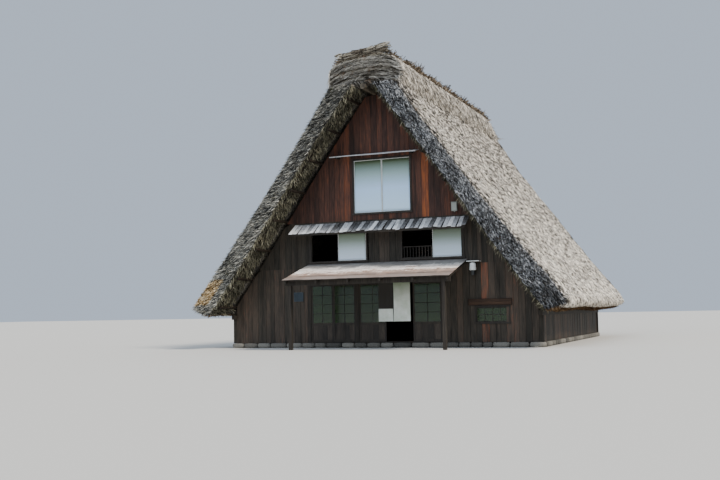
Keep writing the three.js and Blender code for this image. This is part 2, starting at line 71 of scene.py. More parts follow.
LOG = logging.getLogger("farmhouse")
HOUSE = "house"
DOOR = "door"
MM = 0.001

Point = tuple[float, float, float]
Span = tuple[float, float]
Outline = Sequence[tuple[float, float]]
Socket = bpy.types.NodeSocket


# Small tools


def linear(colour: str) -> tuple[float, ...]:
    """Turn an sRGB hex colour into linear RGBA.

    Args:
        colour: Six hex digits after a hash.

    Returns:
        Linear red, green and blue, and an alpha of one.
    """
    channels = [int(colour[i:i + 2], 16) / 255 for i in (1, 3, 5)]
    return (*(c / 12.92 if c <= 0.04045 else ((c + 0.055) / 1.055) ** 2.4 for c in channels), 1.0)


def wander(points: np.ndarray, *fields: tuple[float, float, int]) -> np.ndarray:
    """Add up smooth random fields in space.

    Args:
        points: Positions, one row each, in metres.
        *fields: Each field's strength, how far its random values lie apart in metres, and its number.

    Returns:
        One value for each row. Each field adds from minus its strength to its strength.
    """
    total = np.zeros(len(points))
    for strength, size, seed in fields:
        scaled = points / size + 1000.0
        base = np.floor(scaled).astype(np.int64)
        part = scaled - base
        part = part * part * (3 - 2 * part)
        for corner in itertools.product((0, 1), repeat=3):
            x, y, z = (base + np.array(corner)).T
            code = (x * 73856093 ^ y * 19349663 ^ z * 83492791 ^ (seed * 2654435761)) & 0xFFFFFFFF
            code = (code ^ (code >> 13)) * 1274126177 & 0xFFFFFFFF
            weight = np.prod(np.where(corner, part, 1 - part), axis=1)
            total += strength * weight * ((code >> 8 & 0xFFFF) / 32767.5 - 1)
    return total


def vectors(x: np.ndarray | float, y: np.ndarray | float, z: np.ndarray | float) -> np.ndarray:
    """Spread three coordinates over each other's shapes and join them along a new last axis."""
    return np.stack(np.broadcast_arrays(x, y, z), axis=-1).astype(float)


class Nodes:
    """A node tree that is filled node by node."""

    def __init__(self, tree: bpy.types.NodeTree) -> None:
        """Keep the tree."""
        self.tree = tree

    def feed(self, node: bpy.types.Node, inputs: dict) -> None:
        """Give a node its input values and links.

        Args:
            node: The node that is fed.
            inputs: Values or output sockets for its inputs, by name or number.
        """
        for key, value in inputs.items():
            if isinstance(value, Socket):
                self.tree.links.new(value, node.inputs[key])
            else:
                node.inputs[key].default_value = value

    def add(
        self, kind: str, inputs: Optional[dict] = None, out: int | str = 0, stops: Sequence = (),
        **settings: object,
    ) -> Socket:
        """Add a node with its settings, input values, links and colours.

        Args:
            kind: The node's type name.
            inputs: Values or output sockets for the node's inputs, by name or number.
            out: Number or name of the output that is wanted.
            stops: Places and hex colours of a colour ramp, dark to pale.
            **settings: Properties of the node.

        Returns:
            The socket of that output.
        """
        node = self.tree.nodes.new(kind)
        for name, value in settings.items():
            setattr(node, name, value)
        self.feed(node, inputs or {})
        if stops:
            elements = node.color_ramp.elements
            for _ in stops[2:]:
                elements.new(0.5)
            for element, (place, colour) in zip(elements, stops):
                element.position = place
                element.color = linear(colour)
        return node.outputs[out]


# Finishes


class Shading(Nodes):
    """A material's nodes, which end in its shader."""

    def __init__(self, material: bpy.types.Material) -> None:
        """Start from the material's plain shader."""
        material.use_nodes = True
        super().__init__(material.node_tree)

    def cloud(self, scale: float | Sequence, detail: float, rough: float = 0.5, wind: float = 0.0) -> Socket:
        """Spread random clouds through the piece, on its object coordinates.

        Args:
            scale: Clouds for each metre, or for each metre along X, Y and Z.
            detail: How many finer sizes are mixed in.
            rough: Strength of the finer sizes.
            wind: How far the clouds are drawn out of shape.

        Returns:
            The clouds' socket, from zero to one.
        """
        place = self.add("ShaderNodeTexCoord", out="Object")
        place = self.add("ShaderNodeMapping", {"Vector": place, "Scale": list(np.broadcast_to(scale, 3))})
        kind = {"Vector": place, "Scale": 1.0, "Detail": detail, "Roughness": rough, "Distortion": wind}
        return self.add("ShaderNodeTexNoise", kind, "Fac")

    def stirred(self, value: Socket, clouds: Socket, strength: float) -> Socket:
        """Raise a value where the clouds are pale and lower it where they are dark.

        Args:
            value: The value's socket.
            clouds: The clouds' socket.
            strength: How much the value swings in all.

        Returns:
            The stirred value's socket.
        """
        centred = self.add("ShaderNodeMath", {0: clouds, 1: 0.5}, operation="SUBTRACT")
        return self.add("ShaderNodeMath", {0: centred, 1: strength, 2: value}, operation="MULTIPLY_ADD")

    def veiled(
        self, colour: Socket | Sequence, hue: str, clouds: Socket, limits: Span, most: float,
    ) -> Socket:
        """Lay a second colour over the first where the clouds are thick.

        Args:
            colour: The first colour or its socket.
            hue: The second colour, in hex.
            clouds: The clouds' socket.
            limits: Where in the clouds the veil begins and where it is full.
            most: The full veil's share.

        Returns:
            The mixed colour's socket.
        """
        reach = {"Value": clouds, "From Min": limits[0], "From Max": limits[1], "To Max": most}
        share = self.add("ShaderNodeMapRange", reach)
        return self.add("ShaderNodeMix", {0: share, 6: colour, 7: linear(hue)}, 2, data_type="RGBA")

    def close(
        self, inputs: dict, height: Optional[Socket] = None, depth_mm: float = 0.0, share: float = 0.0,
    ) -> None:
        """Feed the shader and raise its surface.

        Args:
            inputs: The shader's inputs.
            height: Socket of the surface's height.
            depth_mm: How deep the surface is, in millimetres.
            share: How strongly it shows.
        """
        if height is not None:
            raised = {"Height": height, "Distance": depth_mm * MM, "Strength": share}
            inputs = {**inputs, "Normal": self.add("ShaderNodeBump", raised)}
        self.feed(self.tree.nodes["Principled BSDF"], inputs)


class Grain(Enum):
    """The axis that a board's grain runs along."""

    X = 0
    Y = 1
    Z = 2


@dataclass(frozen=True)
class Finish:
    """A surface finish, made into a node material on first use."""

    name: str

    def material(self) -> bpy.types.Material:
        """Make this finish's material on its first use.

        Returns:
            The material.
        """
        made = bpy.data.materials.get(self.name)
        if not made:
            made = bpy.data.materials.new(self.name)
            self.shade(Shading(made))
        return made

    def shade(self, nodes: Shading) -> None:
        """Add this finish's nodes.

        Args:
            nodes: The material's nodes.
        """
        raise NotImplementedError


@dataclass(frozen=True)
class ReedFinish(Finish):
    """Old reed, cut and combed into thatch: matt, dusty, each stalk its own grey or straw tone."""

    stops: tuple = ((0.0, "#1D1A16"), (0.3, "#5D574E"), (0.62, "#A39B8F"), (1.0, "#DCD4C6"))
    growth: tuple = ("#3B3A24", 0.12)
    rust: tuple = ("#8A5A3A", 0.05)
    mottle: float = 0.5
    stalk_mm: float = 12.0

    def shade(self, nodes: Shading) -> None:
        """Mix each stalk's own tone with a fine mottle, patches of growth and a few rusty stalks.

        Args:
            nodes: The material's nodes.
        """
        tone = nodes.add("ShaderNodeAttribute", out="Fac", attribute_name="tone")
        speck = nodes.cloud(1 / (3 * self.stalk_mm * MM), 3.0, 0.7)
        swing = nodes.stirred(tone, speck, self.mottle * 2)
        colour = nodes.add("ShaderNodeValToRGB", {"Fac": swing}, stops=self.stops)
        for (hue, share), size in ((self.growth, 0.7), (self.rust, 0.35)):
            patch = nodes.cloud(1 / size, 5.0, 0.75)
            colour = nodes.veiled(colour, hue, patch, (0.68 - share, 0.78 - share), 0.75)
        matt = {"Base Color": colour, "Roughness": 0.92, "Specular IOR Level": 0.15}
        nodes.close(matt, speck, self.stalk_mm, 0.8)


@dataclass(frozen=True)
class BoardFinish(Finish):
    """Sawn cedar left to the weather: grain lines along the board, each board its own tone."""

    grain: Grain = Grain.Z
    stops: tuple = ((0.0, "#160D0A"), (0.35, "#3A2019"), (0.7, "#6E3A26"), (1.0, "#A45B34"))
    stain: str = "#1A1613"
    stain_share: float = 0.1
    ring_mm: float = 9.0
    streak: float = 0.5
    roughness: float = 0.72
    own_tone: float = 0.0

    def drawn_out(self, scale: float, length: float) -> list[float]:
        """Give a cloud scale that is longer by a factor along the grain."""
        return [scale / (length if axis == self.grain.value else 1) for axis in range(3)]

    def shade(self, nodes: Shading) -> None:
        """Draw the grain, wider weather streaks and stains along it, over the board's own tone.

        Args:
            nodes: The material's nodes.
        """
        tone = nodes.add("ShaderNodeAttribute", out="Fac", attribute_name="tone")
        value = nodes.add("ShaderNodeMath", {0: tone, 1: self.own_tone}, operation="ADD")
        fibres = []
        for width, length, strength in ((self.ring_mm, 28.0, 0.9), (self.ring_mm * 5, 12.0, self.streak)):
            fibres.append(nodes.cloud(self.drawn_out(1 / (width * MM), length), 4.0, wind=0.3))
            value = nodes.stirred(value, fibres[-1], strength)
        colour = nodes.add("ShaderNodeValToRGB", {"Fac": value}, stops=self.stops)
        damp = nodes.cloud(self.drawn_out(5.0, 8.3), 4.0, 0.6)
        share = self.stain_share
        colour = nodes.veiled(colour, self.stain, damp, (0.62 - share, 0.85 - share), 0.85)
        worn = {"Base Color": colour, "Roughness": self.roughness, "Specular IOR Level": 0.25}
        nodes.close(worn, fibres[0], 2.0, 0.6)


@dataclass(frozen=True)
class SheetFinish(Finish):
    """Thin sheet in courses: grey near the wall as painted shade under the gable and overhang, bare pale zinc
    in the middle, then rust and dust.
    """

    # The first stops, grey near the wall, are painted shade where the gable and overhang shade the pent.
    courses: tuple = (
        (0.0, "#74706C"), (0.26, "#A09B94"), (0.4, "#F6EEE4"), (0.56, "#FFF6EA"),
        (0.64, "#BDA595"), (0.8, "#8B7A6F"), (1.0, "#9A8D85"),
    )
    waves: tuple = (((2.5, 2.0, 2.0), 0.5), ((12.0, 3.0, 3.0), 0.35), ((4.0, 26.0, 26.0), 0.3))
    rust: str = "#9C6444"
    rusty: tuple = ((0.38, "#000000"), (0.54, "#FFFFFF"), (0.74, "#8A8A8A"), (0.95, "#303030"))

    def shade(self, nodes: Shading) -> None:
        """Colour each course by its distance from the wall, with wavy borders, streaks and blooms of rust.

        Args:
            nodes: The material's nodes.
        """
        value = nodes.add("ShaderNodeAttribute", out="Fac", attribute_name="tone")
        for scale, strength in self.waves:
            value = nodes.stirred(value, nodes.cloud(scale, 5.0, 0.7), strength)
        colour = nodes.add("ShaderNodeValToRGB", {"Fac": value}, stops=self.courses)
        spots = nodes.cloud((3.0, 9.0, 9.0), 6.0, 0.75)
        limits = {"Value": spots, "From Min": 0.51, "From Max": 0.59, "To Max": 0.9}
        bloom = nodes.add("ShaderNodeMapRange", limits)
        where = nodes.add("ShaderNodeValToRGB", {"Fac": value}, stops=self.rusty)
        bloom = nodes.add("ShaderNodeMath", {0: bloom, 1: where}, operation="MULTIPLY")
        colour = nodes.add("ShaderNodeMix", {0: bloom, 6: colour, 7: linear(self.rust)}, 2, data_type="RGBA")
        nodes.close({"Base Color": colour, "Roughness": 0.62, "Metallic": 0.1}, spots, 2.0, 0.4)


@dataclass(frozen=True)
class PaperFinish(Finish):
    """White paper stretched on a light frame: matt, faintly rippled, painted pale blue as sky light, and
    darker and greener towards its head as painted shade under the hood and pent.
    """

    # Painted light and shade: pale blue at the foot for sky light on white paper, darker and greener at the
    # head for the shade of the hood and pent.
    stops: tuple = ((0.0, "#CDEAFF"), (0.45, "#BDDDFC"), (0.72, "#96B0B0"), (0.95, "#4C5D42"))
    base: float = 4.1
    height: float = 1.62

    def shade(self, nodes: Shading) -> None:
        """Darken the sheet upwards and ripple it.

        Args:
            nodes: The material's nodes.
        """
        place = nodes.add("ShaderNodeTexCoord", out="Object")
        rise = nodes.add("ShaderNodeSeparateXYZ", {0: place}, "Z")
        limits = {"Value": rise, "From Min": self.base, "From Max": self.base + self.height}
        share = nodes.add("ShaderNodeMapRange", limits)
        colour = nodes.add("ShaderNodeValToRGB", {"Fac": share}, stops=self.stops)
        nodes.close({"Base Color": colour, "Roughness": 0.6}, nodes.cloud((1.2, 1.0, 5.0), 3.0), 22.0, 0.8)


@dataclass(frozen=True)
class GlassFinish(Finish):
    """Float glass in small panes: clear, faintly green, dusty enough to dull what it mirrors."""

    tint: str = "#5F7A4C"

    def shade(self, nodes: Shading) -> None:
        """Make the pane clear, with old glass's slow waves.

        Args:
            nodes: The material's nodes.
        """
        clear = {
            "Base Color": linear(self.tint), "Roughness": 0.12, "Transmission Weight": 0.85,
            "IOR": 1.5, "Specular IOR Level": 0.2,
        }
        nodes.close(clear, nodes.cloud(3.0, 1.0), 2.0, 0.1)


@dataclass(frozen=True)
class ClothFinish(Finish):
    """Undyed cotton in plain weave, drawn several times as coarse as its thread so that it shows."""

    pale: str = "#FBFFF8"
    shadow: str = "#CFDAC6"
    # Painted shade: the cloth darkens and greens towards the rod, where the pent's shade falls on it.
    pent_shade: str = "#5A6C40"
    pent_shade_from: float = 0.56
    drop: float = 1.25
    dye: str = "#2E2B26"
    dyed: bool = False
    thread_mm: float = 8.0

    def shade(self, nodes: Shading) -> None:
        """Weave two sets of threads on the cloth's own UV map, and darken it towards the rod with painted
        shade.

        Args:
            nodes: The material's nodes.
        """
        own = nodes.add("ShaderNodeUVMap", uv_map="cloth")
        wave = {"Vector": own, "Scale": 2 * math.pi / (20 * self.thread_mm * MM), "Distortion": 0.4}
        warp, weft = (nodes.add("ShaderNodeTexWave", wave, "Fac", bands_direction=way) for way in ("X", "Y"))
        weave = nodes.add("ShaderNodeMath", {0: warp, 1: weft}, operation="MULTIPLY")
        worn = nodes.add("ShaderNodeTexNoise", {"Vector": own, "Scale": 3.0, "Detail": 3.0}, "Fac")
        blend = nodes.add("ShaderNodeMath", {0: weave, 1: 0.25, 2: worn}, operation="MULTIPLY_ADD")
        stops = ((0.3, self.shadow), (0.75, self.pale))
        colour = nodes.add("ShaderNodeValToRGB", {"Fac": blend}, stops=stops)
        rise = nodes.add("ShaderNodeSeparateXYZ", {0: own}, "Y")
        colour = nodes.veiled(colour, self.pent_shade, rise, (self.pent_shade_from, self.drop), 0.95)
        if self.dyed:
            share = nodes.add("ShaderNodeAttribute", out="Fac", attribute_name="tone")
            colour = nodes.veiled(colour, self.dye, share, (0.0, 1.0), 1.0)
        nodes.close({"Base Color": colour, "Roughness": 0.9, "Sheen Weight": 0.25}, weave, 0.6, 0.5)


@dataclass(frozen=True)
class StoneFinish(Finish):
    """Split river stone: speckled grey, with earth in its hollows."""

    stops: tuple = ((0.25, "#2E2D29"), (0.5, "#605D56"), (0.8, "#8E8A80"))
    crystal_mm: float = 14.0

    def shade(self, nodes: Shading) -> None:
        """Speckle the stone and roughen it, darker on some stones than on others.

        Args:
            nodes: The material's nodes.
        """
        tone = nodes.add("ShaderNodeAttribute", out="Fac", attribute_name="tone")
        speck = nodes.cloud(1 / (self.crystal_mm * MM), 5.0, 0.7)
        mixed = nodes.add("ShaderNodeMath", {0: tone, 1: 0.45, 2: speck}, operation="MULTIPLY_ADD")
        shifted = nodes.add("ShaderNodeMath", {0: mixed, 1: 0.2}, operation="SUBTRACT")
        colour = nodes.add("ShaderNodeValToRGB", {"Fac": shifted}, stops=self.stops)
        nodes.close({"Base Color": colour, "Roughness": 0.9}, speck, 4.0, 0.7)


@dataclass(frozen=True)
class PaintFinish(Finish):
    """Baked enamel or oil paint on metal, dusty and a little chalked."""

    colour: str = "#E8ECEC"
    dust: str = "#A9A89E"
    roughness: float = 0.4

    def shade(self, nodes: Shading) -> None:
        """Lay thin dust over the paint.

        Args:
            nodes: The material's nodes.
        """
        dust = nodes.cloud((9.0, 9.0, 4.0), 5.0)
        colour = nodes.veiled(linear(self.colour), self.dust, dust, (0.45, 0.75), 0.5)
        nodes.close({"Base Color": colour, "Roughness": self.roughness}, dust, 0.3, 0.3)


@dataclass(frozen=True)
class FloorFinish(Finish):
    """Plain pale studio floor, matt all over."""

    colour: str = "#C8C6C0"

    def shade(self, nodes: Shading) -> None:
        """Set one matt colour."""
        nodes.close({"Base Color": linear(self.colour), "Roughness": 0.9, "Specular IOR Level": 0.1})


# Reed: the sun bleaches the slopes, smoke and damp brown the undersides. The right verges' reed is painted
# dark and bluish: painted shade under sky light. The left verges' reed is greyer and paler.
SLOPE_REED = ReedFinish(
    "sunned_reed",
    stops=((0.0, "#24211E"), (0.3, "#716C64"), (0.6, "#C3BBAF"), (1.0, "#FFF6E6")),
    growth=("#6A6654", 0.05), rust=("#9A7C60", 0.03), mottle=0.85,
)
# Painted shade: the right verges stand out of the sun, so their reed is painted dark and bluish as if under
# sky light.
SHADED_VERGE_REED = ReedFinish(
    "shaded_verge_reed",
    stops=((0.0, "#121110"), (0.35, "#3F3E3E"), (0.7, "#7B7C7D"), (1.0, "#D4D5D5")),
    growth=("#33342A", 0.1), rust=("#6E5848", 0.03),
)
WORN_VERGE = ReedFinish(
    "worn_verge",
    stops=((0.0, "#1A1918"), (0.35, "#52524F"), (0.7, "#8C8B84"), (1.0, "#D8D4C6")),
    growth=("#4E4E36", 0.1), rust=("#84644E", 0.03),
)
NEW_REED = ReedFinish(
    "new_reed",
    stops=((0.0, "#42341F"), (0.35, "#94784C"), (0.7, "#CDAC7A"), (1.0, "#F6E4C0")),
    growth=("#86704A", 0.06), rust=("#A07248", 0.05), mottle=0.8,
)
SOFFIT_REED = ReedFinish(
    "sooty_reed",
    stops=((0.0, "#343228"), (0.4, "#747060"), (0.75, "#B0AA90"), (1.0, "#E8E4CA")),
    growth=("#4A4C3A", 0.12), rust=("#6E5844", 0.06),
)
EAVE_REED = ReedFinish(
    "damp_reed",
    stops=((0.0, "#1D140C"), (0.4, "#4A3826"), (0.75, "#806446"), (1.0, "#B29672")),
    growth=("#33301C", 0.1), rust=("#7E5028", 0.1),
)
# On the ridge: greyed reed, duller straw, near-black old rope and brown bark, paler where it is torn.
CAP_REED = ReedFinish(
    "folded_reed",
    stops=((0.0, "#28251F"), (0.3, "#666159"), (0.65, "#A09B91"), (1.0, "#DFDACE")),
    growth=("#4A463A", 0.05), rust=("#8A6A50", 0.08), mottle=0.6,
)
BUNDLE_STRAW = ReedFinish(
    "bundle_straw",
    stops=((0.0, "#201C18"), (0.35, "#585046"), (0.7, "#8B8475"), (1.0, "#C6BFB0")),
    growth=("#5A4C34", 0.1), rust=("#7E5C42", 0.1),
)
ROPE = ReedFinish(
    "straw_rope",
    stops=((0.0, "#0E0C0A"), (0.5, "#2B2722"), (1.0, "#5A554C")),
    growth=("#3B3A24", 0.0), rust=("#8A5A3A", 0.0),
)
BARK = ReedFinish(
    "ridge_bark",
    stops=((0.0, "#1C1815"), (0.4, "#554A3D"), (0.75, "#887865"), (1.0, "#BEAF99")),
    growth=("#4A4436", 0.1), rust=("#74523C", 0.06),
)
# Cedar: red-brown heartwood in the dry gable, near black where soot and rain reach the lower boards.
GABLE_CEDAR = BoardFinish(
    "gable_cedar",
    stops=((0.0, "#14100E"), (0.3, "#33241F"), (0.62, "#52372D"), (0.85, "#76442E"), (1.0, "#94542F")),
    stain="#211C19", stain_share=0.12, streak=0.75,
)
DARK_CEDAR = BoardFinish(
    "dark_cedar",
    stops=((0.0, "#141310"), (0.4, "#36322B"), (0.75, "#50443A"), (1.0, "#84503A")),
    stain="#191713", stain_share=0.12, streak=0.6,
)
# Smoked timber: near black with a faint brown grain. Each name gives the axis that the grain runs along.
TIMBER = BoardFinish(
    "smoked_timber",
    stops=((0.0, "#100E0C"), (0.4, "#2B2722"), (0.8, "#4A4239"), (1.0, "#6A6052")),
    ring_mm=14.0, stain_share=0.08,
)
TIMBER_Y = BoardFinish("smoked_timber_y", grain=Grain.Y, stops=TIMBER.stops, ring_mm=14.0)
# Old boards out in the weather turn silver with open dark grain. Floors stay brown from being walked on.
SILVER_BOARD = BoardFinish(
    "silver_board", grain=Grain.Y,
    stops=((0.0, "#262524"), (0.3, "#6E6D6C"), (0.65, "#BDBDBD"), (1.0, "#F4F4F2")),
    stain="#4A4642", stain_share=0.08, streak=0.7, roughness=0.85,
)
SILVER_BOARD_X = BoardFinish(
    "silver_board_x", grain=Grain.X, stops=SILVER_BOARD.stops, stain="#3A3532", roughness=0.85,
)
FLOOR_BOARD = BoardFinish(
    "trodden_board", grain=Grain.Y,
    stops=((0.0, "#1E140E"), (0.4, "#4C3423"), (0.8, "#7A573B"), (1.0, "#9A7450")), roughness=0.6,
)
# The solids that stay carry no tone of their own, so these finishes hold one.
KEPT_TIMBER = BoardFinish("old_timber", stops=TIMBER.stops, ring_mm=14.0, own_tone=0.45)
KEPT_BEAM = BoardFinish("old_beam", grain=Grain.X, stops=TIMBER.stops, ring_mm=14.0, own_tone=0.4)
KEPT_PLATE = BoardFinish("old_plate", grain=Grain.Y, stops=TIMBER.stops, ring_mm=14.0, own_tone=0.45)
KEPT_POLE = BoardFinish(
    "smoked_pole", grain=Grain.Y,
    stops=((0.0, "#0F0D0A"), (0.4, "#241D16"), (0.8, "#3F3428"), (1.0, "#5E5040")), ring_mm=7.0, own_tone=0.4,
)
PALE_POLE = BoardFinish(
    "ridge_pole_wood", grain=Grain.Y,
    stops=((0.0, "#1E1A16"), (0.4, "#4A4338"), (0.8, "#7A7264"), (1.0, "#A39C8C")), ring_mm=7.0, own_tone=0.5,
)
JOINERY = BoardFinish(
    "door_joinery",
    stops=((0.0, "#12100E"), (0.4, "#2A2723"), (0.8, "#443C34"), (1.0, "#5C5248")),
    ring_mm=6.0, roughness=0.6,
)
# Sheet, paper, glass, cotton, stone and paint look as their classes say.
COURSE_SHEET = SheetFinish("course_sheet")
ATTIC_PAPER = PaperFinish("attic_paper")
# The storey paper carries the same painted sky light and painted shade, its dark head under the upper pent.
STOREY_PAPER = PaperFinish(
    "storey_paper", base=2.66, height=0.85,
    stops=((0.0, "#D9E8F6"), (0.35, "#C6D6DE"), (0.7, "#96A79C"), (1.0, "#69765F")),
)
PANE = GlassFinish("old_glass")
COTTON = ClothFinish("cotton")
RIVER_STONE = StoneFinish("river_stone")
ENAMEL = PaintFinish("white_enamel")
LAMP_IRON = PaintFinish("lamp_iron", colour="#1E2124", dust="#4A4C4A", roughness=0.5)
BOX_PAINT = PaintFinish("box_paint", colour="#9DA19A", dust="#77786F", roughness=0.6)
VENT_PAINT = PaintFinish("vent_paint", colour="#3A464E", dust="#2C3234", roughness=0.6)
PANEL_RIM = PaintFinish("panel_rim", colour="#D9DDDA", dust="#9C9C92", roughness=0.7)
SPLIT_COTTON = ClothFinish("split_cotton", dyed=True)
COTTON_TRIM = ClothFinish("cotton_trim")
SIGN_WOOD = BoardFinish(
    "sign_wood", grain=Grain.X,
    stops=((0.0, "#17110D"), (0.4, "#33251C"), (0.8, "#56402F"), (1.0, "#6E5540")), ring_mm=8.0,
)
STUDIO_FLOOR = FloorFinish("studio_floor")
KEPT_FINISHES = (
    (("rafter_frame_1", "rafter_frame_2", "rafter_frame_3", "rafter_frame_4"), KEPT_TIMBER),
    (("door_post_left", "door_post_middle", "door_post_right", "lower_pent_frame"), KEPT_TIMBER),
    (("door_sill", "door_lintel", "upper_pent_frame"), KEPT_BEAM),
    (("wall_plate_right", "wall_plate_left"), KEPT_PLATE),
    (("purlins_right", "purlins_left", "curtain_rod"), KEPT_POLE),
    (("ridge_pole",), PALE_POLE),
)


# Mesh making


def finished(obj: bpy.types.Object, slot: str, nodes: Sequence[str] = (), body: str = HOUSE) -> None:
    """Tie a finished piece to its body and hide the nodes that it stands for.

    Args:
        obj: The piece.
        slot: The record's material slot; not used.
        nodes: Nodes that it replaces.
        body: The body that it rides on.
    """
    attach(obj, body)
    if nodes:
        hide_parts(*nodes)
    LOG.info("%s: %d faces", obj.name, len(obj.data.polygons))


def mesh_object(
    name: str, points: np.ndarray, faces: Sequence[Sequence[int]], finish: Finish, smooth: bool = False,
) -> bpy.types.Object:
    """Make a mesh object at the origin.

    Args:
        name: The object's name.
        points: Vertex positions, one row each.
        faces: Vertex numbers of each face.
        finish: The finish of every face.
        smooth: Whether faces are shaded smooth.

    Returns:
        The new object, linked to the scene.
    """
    mesh = bpy.data.meshes.new(name)
    mesh.from_pydata([tuple(p) for p in points], [], [tuple(int(i) for i in f) for f in faces])
    mesh.materials.append(finish.material())
    if smooth:
        mesh.shade_smooth()
    mesh.update()
    made = bpy.data.objects.new(name, mesh)
    bpy.context.scene.collection.objects.link(made)
    return made


def store(obj: bpy.types.Object, name: str, values: np.ndarray) -> None:
    """Keep one number or one vector a vertex as a named attribute.

    Args:
        obj: The mesh object.
        name: The attribute's name.
        values: One row for each vertex.
    """
    kind = "FLOAT_VECTOR" if values.ndim == 2 else "FLOAT"
    attribute = obj.data.attributes.new(name, kind, "POINT")
    attribute.data.foreach_set("vector" if values.ndim == 2 else "value", values.astype(np.float32).ravel())


def grid_faces(rows: int, columns: int, flip: bool = False) -> list[tuple[int, ...]]:
    """List the faces of a grid of vertices stored row by row.

    Args:
        rows: Number of rows.
        columns: Vertices in each row.
        flip: Whether the faces point the other way.

    Returns:
        Four vertex numbers for each face.
    """
    corners = [i * columns + j for i in range(rows - 1) for j in range(columns - 1)]
    faces = [(a, a + 1, a + columns + 1, a + columns) for a in corners]
    return [face[::-1] for face in faces] if flip else faces


def slab(
    face: np.ndarray, back: np.ndarray | Point, flip: bool = False,
) -> tuple[np.ndarray, list[tuple[int, ...]]]:
    """Thicken a grid of points into a thin solid.

    Args:
        face: Upper points, shape (rows, columns, 3). Rows run away, columns run along +X.
        back: The way from them to the lower points.
        flip: Whether the faces point the other way.

    Returns:
        Vertices and faces.
    """
    rows, columns = face.shape[:2]
    n = rows * columns
    quads = grid_faces(rows, columns)
    number = np.arange(n).reshape(rows, columns)
    edge = [*number[0], *number[1:, -1], *number[-1, -2::-1], *number[-2:0:-1, 0]]
    faces = [quad[::-1] for quad in quads] + [tuple(i + n for i in quad) for quad in quads]
    faces += [(b + n, a + n, a, b) for a, b in zip(edge, edge[1:] + edge[:1])]
    return np.stack([face, face + back]).reshape(-1, 3), [quad[::-1] for quad in faces] if flip else faces


def skin(shape: Sequence[int]) -> tuple[np.ndarray, np.ndarray]:
    """List the outer faces of a block of points that is stored by its three axes in turn.

    Args:
        shape: Number of points along each axis. The axes are right-handed.

    Returns:
        Numbers of the outer points, and faces of places among them, pointing out.
    """
    number = np.arange(math.prod(shape)).reshape(shape)
    faces = []
    for axis, end in itertools.product(range(3), (0, -1)):
        shell = np.take(number, end, axis)
        shell = shell if (axis == 1) == (end < 0) else shell[:, ::-1]
        faces.append(shell.ravel()[np.array(grid_faces(*shell.shape))])
    used = np.unique(np.concatenate(faces))
    return used, np.searchsorted(used, np.concatenate(faces))


